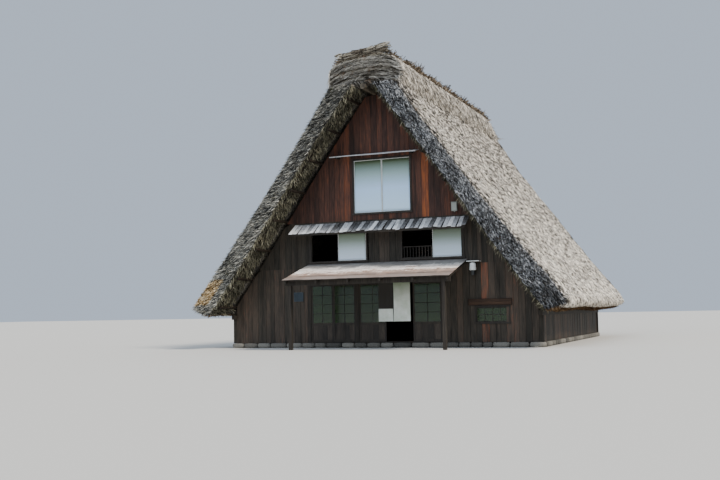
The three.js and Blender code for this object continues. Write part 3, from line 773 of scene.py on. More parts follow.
class MeshMaker:
    """Gathers many small solids, each with its own tone, into one piece."""

    def __init__(self, seed: int) -> None:
        """Start empty.

        Args:
            seed: Seed of this maker's random draws.
        """
        self.random = np.random.default_rng(seed)
        self.points: list[np.ndarray] = []
        self.faces: list[tuple[int, ...]] = []
        self.tones: list[np.ndarray] = []
        self.count = 0

    def add(self, points: Sequence, faces: Sequence[Sequence[int]], tone: float | np.ndarray) -> None:
        """Add one solid.

        Args:
            points: Its vertices.
            faces: Its faces, pointing out.
            tone: Its tone, from zero to one, or one for each vertex.
        """
        block = np.asarray(points, float)
        self.points.append(block)
        self.faces.extend(tuple(i + self.count for i in face) for face in faces)
        self.tones.append(np.broadcast_to(tone, len(block)))
        self.count += len(block)

    def prism(self, outline: Outline, axis: int, depth: Span, tone: float) -> None:
        """Add an outline pushed from one depth to another.

        Args:
            outline: Corners in the plane across the axis, in the order X, Y, Z.
            axis: The axis that it is pushed along.
            depth: Where the push starts and ends. The outline turns anticlockwise about it.
            tone: The solid's tone.
        """
        n = len(outline)
        ring = [np.insert(np.array(corner, float), axis, d) for d in depth for corner in outline]
        sides = [(i, (i + 1) % n, (i + 1) % n + n, i + n) for i in range(n)]
        self.add(ring, [tuple(reversed(range(n))), tuple(range(n, 2 * n)), *sides], tone)

    def box(self, xs: Span, ys: Span, zs: Span, tone: float) -> None:
        """Add a box between low and high X, Y and Z."""
        self.prism([(xs[0], ys[0]), (xs[1], ys[0]), (xs[1], ys[1]), (xs[0], ys[1])], 2, zs, tone)

    def frame(self, xs: Span, ys: Span, zs: Span, stile: float, rail: float, tone: float) -> None:
        """Add four members round a rectangle, head and foot over its full width.

        Args:
            xs: Left and right of the rectangle.
            ys: Front and back.
            zs: Foot and head.
            stile: Width of the upright members.
            rail: Height of the level members.
            tone: The members' tone.
        """
        inner = (zs[0] + rail, zs[1] - rail)
        for z in ((inner[1], zs[1]), (zs[0], inner[0])):
            self.box(xs, ys, z, tone)
        for x in ((xs[0], xs[0] + stile), (xs[1] - stile, xs[1])):
            self.box(x, ys, inner, tone)

    def rod(self, path: np.ndarray, radii: Sequence[float], sides: int, tone: float) -> None:
        """Add a round rod along a path, closed at both ends.

        Args:
            path: Points of its middle line.
            radii: Radius at each point.
            sides: Number of sides.
            tone: The rod's tone.
        """
        path = np.asarray(path, float)
        ahead = np.gradient(path, axis=0)
        ahead /= np.linalg.norm(ahead, axis=1)[:, None]
        helper = np.array([0.0, 0.0, 1.0]) if abs(ahead[:, 2]).mean() < 0.8 else np.array([1.0, 0.0, 0.0])
        first = np.cross(ahead, helper)
        first /= np.linalg.norm(first, axis=1)[:, None]
        second = np.cross(ahead, first)
        angles = np.linspace(0, 2 * math.pi, sides, endpoint=False)
        rings = [p + r * (np.cos(a) * u + np.sin(a) * v)
                 for p, r, u, v in zip(path, radii, first, second) for a in angles]
        faces = [tuple(range(sides)), tuple(reversed(range(len(rings) - sides, len(rings))))]
        for i, j in itertools.product(range(len(path) - 1), range(sides)):
            near, far = i * sides, (i + 1) * sides
            k = (j + 1) % sides
            faces.append((near + j, far + j, far + k, near + k))
        self.add(rings, faces, tone)

    def build(
        self, name: str, finish: Finish, slot: str, nodes: Sequence[str] = (), body: str = HOUSE,
        bevel: float = 0.0, smooth: bool = False,
    ) -> None:
        """Make the finished piece, with each vertex's tone.

        Args:
            name: The piece's name.
            finish: The finish of every face.
            slot: The record's material slot.
            nodes: Nodes that it replaces.
            body: The body that it rides on.
            bevel: Width of a rounded edge, in metres.
            smooth: Whether faces are shaded smooth.
        """
        made = mesh_object(name, np.concatenate(self.points), self.faces, finish, smooth)
        store(made, "tone", np.concatenate(self.tones))
        if bevel:
            rounding = made.modifiers.new("worn_edges", "BEVEL")
            rounding.width = bevel
            rounding.segments = 1
            rounding.limit_method = "ANGLE"
        finished(made, slot, nodes, body)


@dataclass
class Piece:
    """A sub-assembly that takes a node's place, within the node's box."""

    node: str
    seed: int

    def __post_init__(self) -> None:
        """Read the node's box and start its mesh."""
        self.low, self.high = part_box(self.node)
        self.xs, self.ys, self.zs = zip(self.low, self.high)
        self.maker = MeshMaker(self.seed)
        self.random = self.maker.random

    def strips(self, start: float, stop: float, width: Span, least: float = 0.0) -> Iterator[Span]:
        """Split a length into strips of random width.

        Args:
            start: Where the first strip begins.
            stop: Where the last one ends.
            width: Narrowest and widest strip.
            least: A rest that is narrower than this goes to the strip before it.

        Yields:
            Each strip's start and end.
        """
        while stop - start > 0.02:
            end = min(start + self.random.uniform(*width), stop)
            if stop - end < least:
                end = stop
            yield start, end
            start = end


# Repeating pieces made by Geometry Nodes


class NodeTree(Nodes):
    """A Geometry Nodes tree with named inputs, run once to make a plain mesh."""

    KINDS = {"Material": "NodeSocketMaterial", "Seed": "NodeSocketInt", "Count": "NodeSocketInt"}

    def __init__(self, name: str, inputs: Sequence[str]) -> None:
        """Make the tree and its sockets.

        Args:
            name: The tree's name.
            inputs: Names of its inputs besides the geometry. Names ending in size or offset are vectors.
        """
        super().__init__(bpy.data.node_groups.new(name, "GeometryNodeTree"))
        new_socket = self.tree.interface.new_socket
        for way in ("INPUT", "OUTPUT"):
            new_socket("Geometry", in_out=way, socket_type="NodeSocketGeometry")
        for label in inputs:
            vector = label.endswith(("size", "offset"))
            kind = self.KINDS.get(label, "NodeSocketVector" if vector else "NodeSocketFloat")
            new_socket(label, in_out="INPUT", socket_type=kind)
        self.given = self.tree.nodes.new("NodeGroupInput").outputs

    def close(self, placed: Socket, tone: Socket) -> None:
        """Keep each instance's tone, realize the instances, set the material and lead the mesh out.

        Args:
            placed: Socket of the instances.
            tone: Socket of their tones.
        """
        kept = {"Geometry": placed, "Name": "tone", "Value": tone}
        toned = self.add("GeometryNodeStoreNamedAttribute", kept, data_type="FLOAT", domain="INSTANCE")
        real = self.add("GeometryNodeRealizeInstances", {"Geometry": toned})
        dressed = self.add("GeometryNodeSetMaterial", {"Geometry": real, "Material": self.given["Material"]})
        self.feed(self.tree.nodes.new("NodeGroupOutput"), {0: dressed})

    def run(self, host: bpy.types.Object, name: str, finish: Finish, slot: str, values: dict) -> None:
        """Run the tree on a host and make a finished piece of what it gives.

        Args:
            host: The mesh that it starts from, removed afterwards.
            name: Name of the new piece.
            finish: The finish that it gets.
            slot: The record's material slot.
            values: Input values by name.
        """
        modifier = host.modifiers.new("grow", "NODES")
        modifier.node_group = self.tree
        given = {**values, "Material": finish.material()}
        for item in self.tree.interface.items_tree:
            if item.in_out == "INPUT" and item.name in given:
                modifier[item.identifier] = given[item.name]
        graph = bpy.context.evaluated_depsgraph_get()
        source = {"object": host.evaluated_get(graph), "depsgraph": graph}
        mesh = bpy.data.meshes.new_from_object(**source, preserve_all_data_layers=True)
        host.modifiers.remove(modifier)
        bpy.data.objects.remove(host)
        mesh.name = name
        made = bpy.data.objects.new(name, mesh)
        bpy.context.scene.collection.objects.link(made)
        finished(made, slot)


def stalk_tree() -> NodeTree:
    """Make the tree that grows tapered stalks over a surface.

    Returns:
        A tree that reads each host point's flow direction and tint, and stores each stalk's tone.
    """
    tree = NodeTree("stalks", ("Density", "Length", "Width", "Spread", "Contrast", "Seed", "Material"))
    add, given = tree.add, tree.given
    ranges = (*[(-1.0, 1.0)] * 3, (0.0, 2 * math.pi), (0.55, 1.5), (0.5, 1.35), (-1.0, 1.0))
    draws = []
    for salt, (low, high) in enumerate(ranges, 1):
        seed = add("ShaderNodeMath", {0: given["Seed"], 1: float(salt)}, operation="ADD")
        draws.append(add("FunctionNodeRandomValue", {2: low, 3: high, "Seed": seed}, 1, data_type="FLOAT"))
    stray_x, stray_y, stray_z, spin, thick, long, shade = draws
    patch = {"Mesh": given["Geometry"], "Density": given["Density"], "Seed": given["Seed"]}
    spots = add("GeometryNodeDistributePointsOnFaces", patch)
    cone = {"Vertices": 3, "Radius Top": 0.0, "Radius Bottom": given["Width"], "Depth": given["Length"]}
    stalk = add("GeometryNodeMeshCone", cone)
    flow = add("GeometryNodeInputNamedAttribute", {"Name": "flow"}, data_type="FLOAT_VECTOR")
    stray = add("ShaderNodeCombineXYZ", {0: stray_x, 1: stray_y, 2: stray_z})
    apart = add("ShaderNodeVectorMath", {0: stray, "Scale": given["Spread"]}, operation="SCALE")
    aim = add("ShaderNodeVectorMath", {0: flow, 1: apart}, operation="ADD")
    turn = add("FunctionNodeAlignRotationToVector", {"Vector": aim}, axis="Z")
    roll = add("FunctionNodeAxisAngleToRotation", {"Axis": (0.0, 0.0, 1.0), "Angle": spin})
    turned = add("FunctionNodeRotateRotation", {0: turn, 1: roll}, rotation_space="LOCAL")
    size = add("ShaderNodeCombineXYZ", {0: thick, 1: thick, 2: long})
    places = {"Points": spots, "Instance": stalk, "Rotation": turned, "Scale": size}
    tint = add("GeometryNodeInputNamedAttribute", {"Name": "tint"}, data_type="FLOAT")
    tone = add("ShaderNodeMath", {0: shade, 1: given["Contrast"], 2: tint}, operation="MULTIPLY_ADD")
    tree.close(add("GeometryNodeInstanceOnPoints", places), tone)
    return tree


def slat_tree() -> NodeTree:
    """Make the tree that sets equal bars in a row.

    Returns:
        A tree that stores each bar's tone.
    """
    tree = NodeTree("slats", ("Count", "Start offset", "Step offset", "Bar size", "Tilt", "Seed", "Material"))
    add, given = tree.add, tree.given
    row = {"Count": given["Count"], "Start Location": given["Start offset"], "Offset": given["Step offset"]}
    line = add("GeometryNodeMeshLine", row)
    bar = add("GeometryNodeMeshCube", {"Size": given["Bar size"]})
    turn = add("FunctionNodeEulerToRotation", {0: add("ShaderNodeCombineXYZ", {0: given["Tilt"]})})
    placed = add("GeometryNodeInstanceOnPoints", {"Points": line, "Instance": bar, "Rotation": turn})
    limits = {2: 0.3, 3: 0.75, "Seed": given["Seed"]}
    tree.close(placed, add("FunctionNodeRandomValue", limits, 1, data_type="FLOAT"))
    return tree


@dataclass
class Stalks:
    """Loose reed ends grown over a patch of surface. The density is in stalks for each square metre."""

    name: str
    finish: Finish
    density: float
    length: float
    width: float
    spread: float
    contrast: float
    seed: int
    slot: str = "thatch"

    def grow(
        self, tree: NodeTree, points: np.ndarray, faces: Sequence[Sequence[int]], flow: np.ndarray,
        tint: np.ndarray,
    ) -> None:
        """Grow the stalks as one finished piece.

        Args:
            tree: The tree made by stalk_tree.
            points: Vertices of the patch.
            faces: Faces of the patch.
            flow: Direction that the stalks lie in at each vertex.
            tint: Middle tone at each vertex.
        """
        host = mesh_object(self.name + "_patch", points, faces, self.finish)
        store(host, "flow", flow)
        store(host, "tint", tint)
        tree.run(host, self.name, self.finish, self.slot, {
            "Density": self.density, "Length": self.length, "Width": self.width,
            "Spread": self.spread, "Contrast": self.contrast, "Seed": self.seed})


@dataclass
class SlatRow:
    """Equal bars in a row."""

    name: str
    finish: Finish
    slot: str
    count: int
    start: Point
    step: Point
    size: Point
    tilt: float = 0.0

    def build(self, tree: NodeTree) -> None:
        """Set up the bars.

        Args:
            tree: The tree made by slat_tree.
        """
        host = mesh_object(self.name + "_start", np.zeros((1, 3)), [], self.finish)
        tree.run(host, self.name, self.finish, self.slot, {
            "Count": self.count, "Start offset": self.start, "Step offset": self.step, "Bar size": self.size,
            "Tilt": self.tilt, "Seed": 1})


# Studio


@dataclass
class Studio:
    """Camera, floor and lights. The camera stands where the photograph was taken."""

    wall_y: float
    focal_px: float = 966.7
    frame_px: float = 720.0
    sensor_mm: float = 36.0
    yaw: float = 22.397
    pitch: float = 4.183
    roll: float = -1.064
    from_wall: Point = (10.674, -27.254, 1.118)
    floor_half: float = 150.0
    sky: tuple = ("#CDDCEF", 0.85)
    suns: tuple = (("key", 4.3, 12.0, "#FFF6EA", (0, 42, -12)), ("fill", 1.3, 50.0, "#E2EDFF", (48, 0, -14)))

    def build(self) -> None:
        """Make the camera, the floor and the lights."""
        self.camera()
        h = self.floor_half
        corners = np.array([(-h, -h, -0.002), (h, -h, -0.002), (h, h, -0.002), (-h, h, -0.002)])
        mesh_object("studio_floor", corners, [(0, 1, 2, 3)], STUDIO_FLOOR)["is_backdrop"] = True
        self.lights()

    def camera(self) -> None:
        """Place the camera by its turn, tilt and roll."""
        data = bpy.data.cameras.new("camera")
        data.sensor_width = self.sensor_mm
        data.lens = self.focal_px / self.frame_px * self.sensor_mm
        data.clip_end = 500.0
        camera = bpy.data.objects.new("camera", data)
        turns = ((self.yaw, "Z"), (90 + self.pitch, "X"), (self.roll, "Z"))
        pan, tip, lean = (Matrix.Rotation(math.radians(angle), 4, axis) for angle, axis in turns)
        place = Matrix.Translation(np.array(self.from_wall) + (0, self.wall_y, 0))
        camera.matrix_world = place @ pan @ tip @ lean
        bpy.context.scene.collection.objects.link(camera)
        bpy.context.scene.camera = camera

    def lights(self) -> None:
        """Light the roof's right slope from high on the right, and the gable softly from the sky."""
        world = bpy.data.worlds.new("studio")
        world.use_nodes = True
        colour, strength = self.sky
        light = {"Color": linear(colour), "Strength": strength}
        Nodes(world.node_tree).feed(world.node_tree.nodes["Background"], light)
        bpy.context.scene.world = world
        for name, strength, angle, colour, turn in self.suns:
            data = bpy.data.lights.new(name, "SUN")
            data.energy = strength
            data.color = linear(colour)[:3]
            data.angle = math.radians(angle)
            lamp = bpy.data.objects.new(name, data)
            lamp.rotation_euler = tuple(math.radians(v) for v in turn)
            bpy.context.scene.collection.objects.link(lamp)


# Roof


def resample(line: np.ndarray, count: int) -> np.ndarray:
    """Spread points evenly along a line.

    Args:
        line: The line's corners.
        count: Number of points wanted.

    Returns:
        The evenly spread points.
    """
    steps = np.linalg.norm(np.diff(line, axis=0), axis=1)
    far = np.concatenate([[0], np.cumsum(steps)])
    places = np.linspace(0, far[-1], count)
    return np.stack([np.interp(places, far, line[:, i]) for i in (0, 1)], axis=1)


class RoofSection:
    """The cross-section of one thatched slope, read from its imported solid."""

    # Points nearer than this to the line from eave to ridge belong to the underside.
    SKIN = 0.2

    def __init__(self, node: str) -> None:
        """Read the outline at the front end of the slope on the +X side.

        Args:
            node: The slope's node.
        """
        points = np.array([v.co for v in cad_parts[node].data.vertices])
        self.front = float(points[:, 1].min())
        self.rear = float(points[:, 1].max())
        end = np.unique(np.round(points[points[:, 1] < self.front + 0.01][:, [0, 2]], 4), axis=0)
        low = end[end[:, 1].argmin()]
        high = end[end[:, 0].argmin()]
        along = (high - low) / np.linalg.norm(high - low)
        offset = np.abs((end[:, 0] - low[0]) * along[1] - (end[:, 1] - low[1]) * along[0])
        sides = (end[offset < self.SKIN], end[offset >= self.SKIN])
        self.inner, self.outer = (line[line[:, 1].argsort()[::-1]] for line in sides)

    def from_end(self, y: np.ndarray) -> np.ndarray:
        """Give how far places along the house lie from the nearer end of the roof."""
        return np.minimum(y - self.front, self.rear - y)

    def inside(self, distance: float) -> np.ndarray:
        """Give the underside moved square to itself into the house, ridge first and drawn on past it.

        Args:
            distance: How far it is moved.

        Returns:
            The line's points in X and Z.
        """
        ahead = np.gradient(self.inner, axis=0)
        ahead /= np.linalg.norm(ahead, axis=1)[:, None]
        line = self.inner + distance * np.stack([ahead[:, 1], -ahead[:, 0]], axis=1)
        return np.concatenate([[line[0] + 10 * (line[0] - line[1])], line])


@dataclass
class ThatchSlope:
    """One thatched slope: a thick combed body with loose reed ends on its top, verges, eave and soffit."""

    section: RoofSection
    side: int
    tree: NodeTree
    density: float
    along: int = 112
    down: int = 84
    layer_shares: tuple = (0.0, 0.06, 0.14, 0.25, 0.42, 0.68, 1.0)
    end_steps: tuple = (0.0, 0.03, 0.07, 0.12, 0.19)
    round_over: float = 0.22
    wave: float = 0.034
    scallop: float = 0.055
    scallop_pitch: float = 0.62
    overhang: float = 1.05
    painted_shade_reach: float = 0.6

    def __post_init__(self) -> None:
        """Lay out the slope's grid, its fall and its outward direction."""
        self.name = "thatch_right" if self.side > 0 else "thatch_left"
        fall = np.gradient(resample(self.section.outer, self.down), axis=0)
        fall /= np.linalg.norm(fall, axis=1)[:, None]
        self.fall = vectors(fall[:, 0], 0, fall[:, 1])
        self.out = vectors(-fall[:, 1], 0, fall[:, 0])
        self.grid = self.shaped(self.block())

    def block(self) -> np.ndarray:
        """Lay out the slope as a grid down the roof, through the thatch and along the house.

        Returns:
            Points of shape (down, layers, along, 3).
        """
        lines = (self.section.outer, self.section.inner)
        top, bottom = (resample(line, self.down)[:, None, :] for line in lines)
        depth = np.array(self.layer_shares)[None, :, None]
        flat = top * (1 - depth) + bottom * depth
        steps = np.array(self.end_steps)
        front, rear = self.section.front, self.section.rear
        middle = np.linspace(front + 0.28, rear - 0.28, self.along - 2 * len(steps))
        ys = np.concatenate([front + steps, middle, rear - steps[::-1]])
        return vectors(flat[:, :, None, 0], ys, flat[:, :, None, 1])

    def shaped(self, grid: np.ndarray) -> np.ndarray:
        """Round the verges, scallop the eave and let the surface wander.

        Args:
            grid: The plain block's points.

        Returns:
            The moved points.
        """
        thickness = np.linalg.norm(grid[:, 0] - grid[:, -1], axis=-1)
        depth = np.array(self.layer_shares)[None, :, None] * thickness[:, None, :]
        from_end = self.section.from_end(grid[..., 1])
        r = self.round_over
        top, end = depth < 1e-6, (from_end < 1e-6) & (depth >= 1e-6)
        turn = np.clip(1 - np.where(top, from_end, depth) / r, 0, 1)
        near = r * (turn - np.sin(turn * math.pi / 4))
        far = r * (1 - np.cos(turn * math.pi / 4))
        sink = np.where(top, far, np.where(end, near, 0))
        pull = np.where(top, near, np.where(end, far, 0))
        flat = grid.reshape(-1, 3)
        fields = ((1.0, 1.6, 11 + self.side), (0.7, 0.5, 13 + self.side), (0.45, 0.17, 17 + self.side))
        swell = wander(flat, *fields).reshape(grid.shape[:3])
        ends = from_end < 1e-6
        lift = np.where(ends, 0, swell * self.wave) - sink
        pull += np.where(ends, np.abs(swell) * self.wave * 1.6, 0)
        eave = np.clip((np.arange(self.down) - self.down + 9) / 6, 0, 1)[:, None, None]
        beat = np.abs(np.sin(math.pi * grid[..., 1] / self.scallop_pitch + 0.9 * swell))
        slide = eave * (self.scallop * (beat - 0.6) + 0.02 * swell)
        inward = np.where(grid[..., 1] < 0, 1.0, -1.0)
        fall, out = (vectors[:, None, None, :] for vectors in (self.fall, self.out))
        grid = grid + lift[..., None] * out + slide[..., None] * fall
        grid[..., 1] += inward * pull
        return grid

    def patch(self, points: np.ndarray, flow: np.ndarray) -> tuple[np.ndarray, list, np.ndarray]:
        """Turn a grid of points into a patch on this side of the ridge.

        Args:
            points: A grid of points, shape (rows, columns, 3).
            flow: Directions, of the same shape or one that spreads to it.

        Returns:
            Vertices, faces and directions.
        """
        faces = grid_faces(*points.shape[:2], flip=self.side < 0)
        points, flow = (part.reshape(-1, 3) * (self.side, 1, 1) for part in np.broadcast_arrays(points, flow))
        return points, faces, flow

    def build(self) -> None:
        """Make the body and every patch of loose reed."""
        self.body()
        self.top_stalks()
        self.verge_stalks()
        self.soffit_stalks()
        self.eave_stalks()

    def body(self) -> None:
        """Close the grid's six faces into one skin, darker at its ends and underneath."""
        used, faces = skin(self.grid.shape[:3])
        points = self.grid.reshape(-1, 3)[used] * (self.side, 1, 1)
        made = mesh_object(f"{self.name}_body", points, faces[:, ::self.side], SLOPE_REED, smooth=True)
        tone = 0.26 + wander(points, (0.14, 0.9, 5), (0.14, 0.22, 6))
        end = self.section.from_end(points[:, 1]) < 0.16
        layers = len(self.layer_shares)
        under = used // self.along % layers == layers - 1
        store(made, "tone", tone * np.where(under, 0.8, np.where(end, 0.4, 1.0)))
        finished(made, "thatch", [self.name])

    def top_stalks(self) -> None:
        """Grow combed reed over the slope, ragged and in painted shade at the rounded verges, then streaked
        and pale.
        """
        points, faces, flow = self.patch(self.grid[:, 0], (self.fall + 0.06 * self.out)[:, None, :])
        away = self.section.from_end(points[:, 1])
        edge = np.clip(1 - away / 1.3, 0, 1)
        low = np.clip(1 - points[:, 2] / 8, 0, 1)
        streak = wander(points * np.array([0.35, 1.0, 0.35]), (1.0, 0.11, 24))
        ragged = wander(points, (0.3, 0.34, 25), (0.3, 0.12, 26))
        # Painted shade: the reed darkens where the slope rounds over into the verges, out of the sun.
        dark = np.clip(1 - (away + ragged) / self.painted_shade_reach, 0, 1)
        tint = 0.33 + wander(points, (0.06, 1.3, 21), (0.04, 0.35, 22))
        tint += (0.06 + 0.14 * edge) * streak + 0.66 * low + 0.09 * edge - 0.6 * dark
        kind = Stalks(f"{self.name}_reed", SLOPE_REED, self.density, 0.12, 0.0135, 0.24, 0.95, 3 + self.side)
        kind.grow(self.tree, points, faces, flow, tint)

    def verge_stalks(self) -> None:
        """Grow the shaggy cut ends on the front and rear verges, and the newer reed of a mended place."""
        right = self.side > 0
        # The right verges get the darker, bluish reed: painted shade under sky light.
        shaded_verge = (SHADED_VERGE_REED, 0.1, (0.62, 0.0, -0.78))
        finish, length, lean = shaded_verge if right else (WORN_VERGE, 0.15, (0.86, 0.0, -0.5))
        for end, index, out, density in (("front", 0, -1.0, 2500.0), ("rear", -1, 1.0, 1200.0)):
            points, faces, flow = self.patch(self.grid[:, :, index], np.array(lean) + (0, 0.34 * out, 0))
            tint = 0.47 + wander(points, (0.14, 0.45, 31), (0.22, 0.13, 32))
            if right:
                tint -= 0.28 * np.clip(1 - points[:, 2] / 4, 0, 1)
            else:
                # A paler outer edge on the left verges: painted highlight where the fringe catches the light.
                tint += np.tile(np.interp(self.layer_shares, (0.0, 0.1), (0.45, 0.0)), self.down)
                tint -= 0.12 * np.clip(points[:, 2] / 4 - 1, 0, 1)
            new = self.mended(points) & (not right and out < 0)
            if new.any():
                patch = [face for face in faces if new[list(face)].all()]
                fresh = Stalks("thatch_mended_verge", NEW_REED, 2600.0, 0.1, 0.013, 0.42, 0.7, 12)
                fresh.grow(self.tree, points, patch, flow, 0.55 + wander(points, (0.25, 0.12, 36)))
            kept = [face for face in faces if not new[list(face)].all()]
            kind = Stalks(f"{self.name}_{end}_verge", finish, density, length, 0.012, 0.42, 0.58, 9 + index)
            kind.grow(self.tree, points, kept, flow, tint)

    def mended(self, points: np.ndarray) -> np.ndarray:
        """Tell which points lie in the mended place at the foot of the verge.

        Args:
            points: The verge's points, layer by layer in each row.

        Returns:
            True for each point of the mended place.
        """
        deep = np.tile(np.array(self.layer_shares) < 0.7, self.down)
        ragged = points[:, 2] - wander(points, (0.1, 0.2, 35))
        return deep & (ragged > 1.32) & (ragged < 2.22)

    def soffit_stalks(self) -> None:
        """Hang sooty straw under both verges."""
        ys = self.grid[0, -1, :, 1]
        lean = (0.5 * self.fall - 0.35 * self.out)[:, None, :]
        ends = (("front", -1.0, self.section.front, 700.0), ("rear", 1.0, self.section.rear, 260.0))
        for end, out, limit, density in ends:
            surface = self.grid[:, -1][:, np.abs(ys - limit) < self.overhang]
            points, faces, flow = self.patch(surface, lean + np.array([0, 0.25 * out, -0.35]))
            tint = (0.1 if self.side > 0 else 0.26) + wander(points, (0.3, 0.3, 41))
            kind = Stalks(f"{self.name}_{end}_soffit", SOFFIT_REED, density, 0.18, 0.012, 0.55, 0.5, 15)
            kind.grow(self.tree, points, faces, flow, tint)

    def eave_stalks(self) -> None:
        """Grow the brown cut ends across the foot of the slope."""
        points, faces, flow = self.patch(self.grid[-1, 1:], np.array([0.55, 0, -0.8]))
        tint = 0.45 + wander(points, (0.3, 0.25, 51))
        kind = Stalks(f"{self.name}_eave", EAVE_REED, 1300.0, 0.09, 0.012, 0.35, 0.4, 23)
        kind.grow(self.tree, points, faces, flow, tint)


@dataclass
class RidgeCap:
    """Reed laid across the ridge in courses, cut square at both gables and sunk at its rear end."""

    tree: NodeTree
    courses: int = 6
    columns: int = 25
    half: float = 1.1
    arch: float = 0.15
    crest: float = 0.83
    droop: float = 0.30
    tilt: float = 0.04
    end_insets: Span = (0.13, 0.05)
    shoulder: float = 0.8
    waist: float = 2.4
    narrowing: float = 0.08
    sinking: float = 0.06
    rounding: float = 0.42
    core_inset: float = 0.3
    end_length: float = 0.6
    joint: float = 0.16
    lean: float = 0.13
    ragged: float = 0.05

    def __post_init__(self) -> None:
        """Read the cap's box and set its cut ends back inside it."""
        self.low, self.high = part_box("ridge_cap")
        self.front, self.rear = self.low.y + self.end_insets[0], self.high.y - self.end_insets[1]

    def line(self, share: float) -> np.ndarray:
        """Give a line across the cap.

        Args:
            share: Zero for its underside, one for its crown.

        Returns:
            Points in X and Z, one for each column.
        """
        bulge = np.interp(share, (0, 0.35, 0.75, 1), (-0.05, 0.04, 0.05, -0.02))
        x = np.linspace(-1, 1, self.columns) * (self.half + bulge)
        under = self.arch - 0.19 * (x / self.half) ** 2
        over = self.crest - self.droop * np.abs(x / 1.15) ** 4 + self.tilt * x
        return np.stack([x, self.low.z + under + (over - under) * share], axis=1)

    def settled(self, points: np.ndarray) -> np.ndarray:
        """Narrow, lower and round the cap towards its rear end, where it has sunk.

        Args:
            points: Points of the cap as it was laid.

        Returns:
            The moved points.
        """
        far = np.clip((points[..., 1] - self.high.y + self.waist) / self.waist, 0, 1) ** 2
        tall = np.clip((points[..., 2] - self.low.z) / self.crest, 0, 1.2)
        moved = points.copy()
        moved[..., 2] -= far * tall * (self.sinking + self.rounding * (points[..., 0] / self.half) ** 2)
        moved[..., 0] *= 1 - self.narrowing * far
        return moved

    def crown_z(self, x: np.ndarray) -> np.ndarray:
        """Give the crown's height at places across the ridge."""
        return np.interp(x, *self.line(1.0).T)

    def course(self, ys: np.ndarray, low: float, high: float, seed: int) -> tuple[np.ndarray, list]:
        """Make one closed layer.

        Args:
            ys: Places along the ridge.
            low: Share of its lower line.
            high: Share of its upper line.
            seed: Number of its random field.

        Returns:
            Vertices and faces.
        """
        upper = self.line(high)
        fall = self.line(low) - upper
        face = vectors(upper[:, 0], ys[:, None], upper[:, 1])
        points, faces = slab(face, vectors(fall[:, 0], 0, fall[:, 1]), flip=True)
        points[:, 2] += wander(points, (0.02, 0.5, 61), (0.010, 0.16, 71 + seed))
        swell = wander(points, (0.03, 0.4, 81 + seed)) * (np.abs(points[:, 0]) > self.shoulder)
        points[:, 0] += np.sign(points[:, 0]) * swell
        return self.settled(points), faces

    def build(self) -> None:
        """Make the core, the courses at both ends and the loose reed over them."""
        maker = MeshMaker(40)
        front, rear, reach = self.front, self.rear, self.end_length
        juts = maker.random.uniform(0.0, self.ragged, self.courses)
        juts += np.linspace(self.lean, 0.0, self.courses)
        core = np.linspace(front + self.core_inset, rear - self.core_inset, 90)
        layers = [(core, -0.05, 0.985, 0.25)]
        for k, jut in enumerate(juts):
            for ys in ((front + jut, front + reach), (rear - reach, rear - jut)):
                top = (k + 1 - self.joint) / self.courses
                layers.append((np.linspace(*ys, 5), k / self.courses, top, 0.22))
        for seed, (ys, lower, upper, tone) in enumerate(layers):
            block, quads = self.course(ys, lower, upper, seed)
            maker.add(block, quads, tone + wander(block, (0.15, 0.3, 91 + seed)))
        maker.build("ridge_cap_courses", CAP_REED, "ridge_reed", ["ridge_cap"], smooth=True)
        self.crown_reed()
        for end, y, out in (("front", front, -1.0), ("rear", rear, 1.0)):
            self.end_reed(end, y, out, juts)

    def crown_reed(self) -> None:
        """Grow brown reed over the crown, and reed like the slopes' down both shoulders."""
        shoulder = np.stack([self.line(share)[-1] for share in (0.85, 0.6, 0.35, 0.1, -0.12)])
        other = [[-x, z - 2 * self.tilt] for x, z in shoulder[::-1]]
        across = np.concatenate([other, self.line(1.0), shoulder])
        ys = np.linspace(self.front + 0.02, self.rear - 0.02, 66)
        points = np.array([(x, y, z) for y in ys for x, z in across])
        side = np.sign(points[:, 0] + 1e-6)
        steep = np.clip(np.abs(points[:, 0]) / 1.1, 0, 1) ** 3
        flow = vectors(side * (1 - 0.75 * steep), 0, 0.04 - 0.95 * steep)
        streaks = wander(points, (0.06, 0.5, 101)) + wander(points * (0.35, 1.0, 0.35), (0.1, 0.11, 102))
        wide = np.abs(points[:, 0]) > self.shoulder
        faces = [(wide[list(face)].all(), face) for face in grid_faces(len(ys), len(across))]
        parts = (("crown", False, CAP_REED, 0.42), ("shoulder", True, SLOPE_REED, 0.56))
        for name, outer, finish, tint in parts:
            kept = [face for beyond, face in faces if beyond == outer]
            kind = Stalks(f"ridge_{name}_reed", finish, 480.0, 0.2, 0.0135, 0.26, 0.48, 31, "ridge_reed")
            kind.grow(self.tree, self.settled(points), kept, flow, tint + streaks)

    def end_reed(self, end: str, y: float, out: float, juts: np.ndarray) -> None:
        """Draw long reeds across one cut end, course by course, with open joints and a ragged foot.

        Args:
            end: Name of the end.
            y: Where the end stands.
            out: The way it faces along Y.
            juts: How far each course stands back.
        """
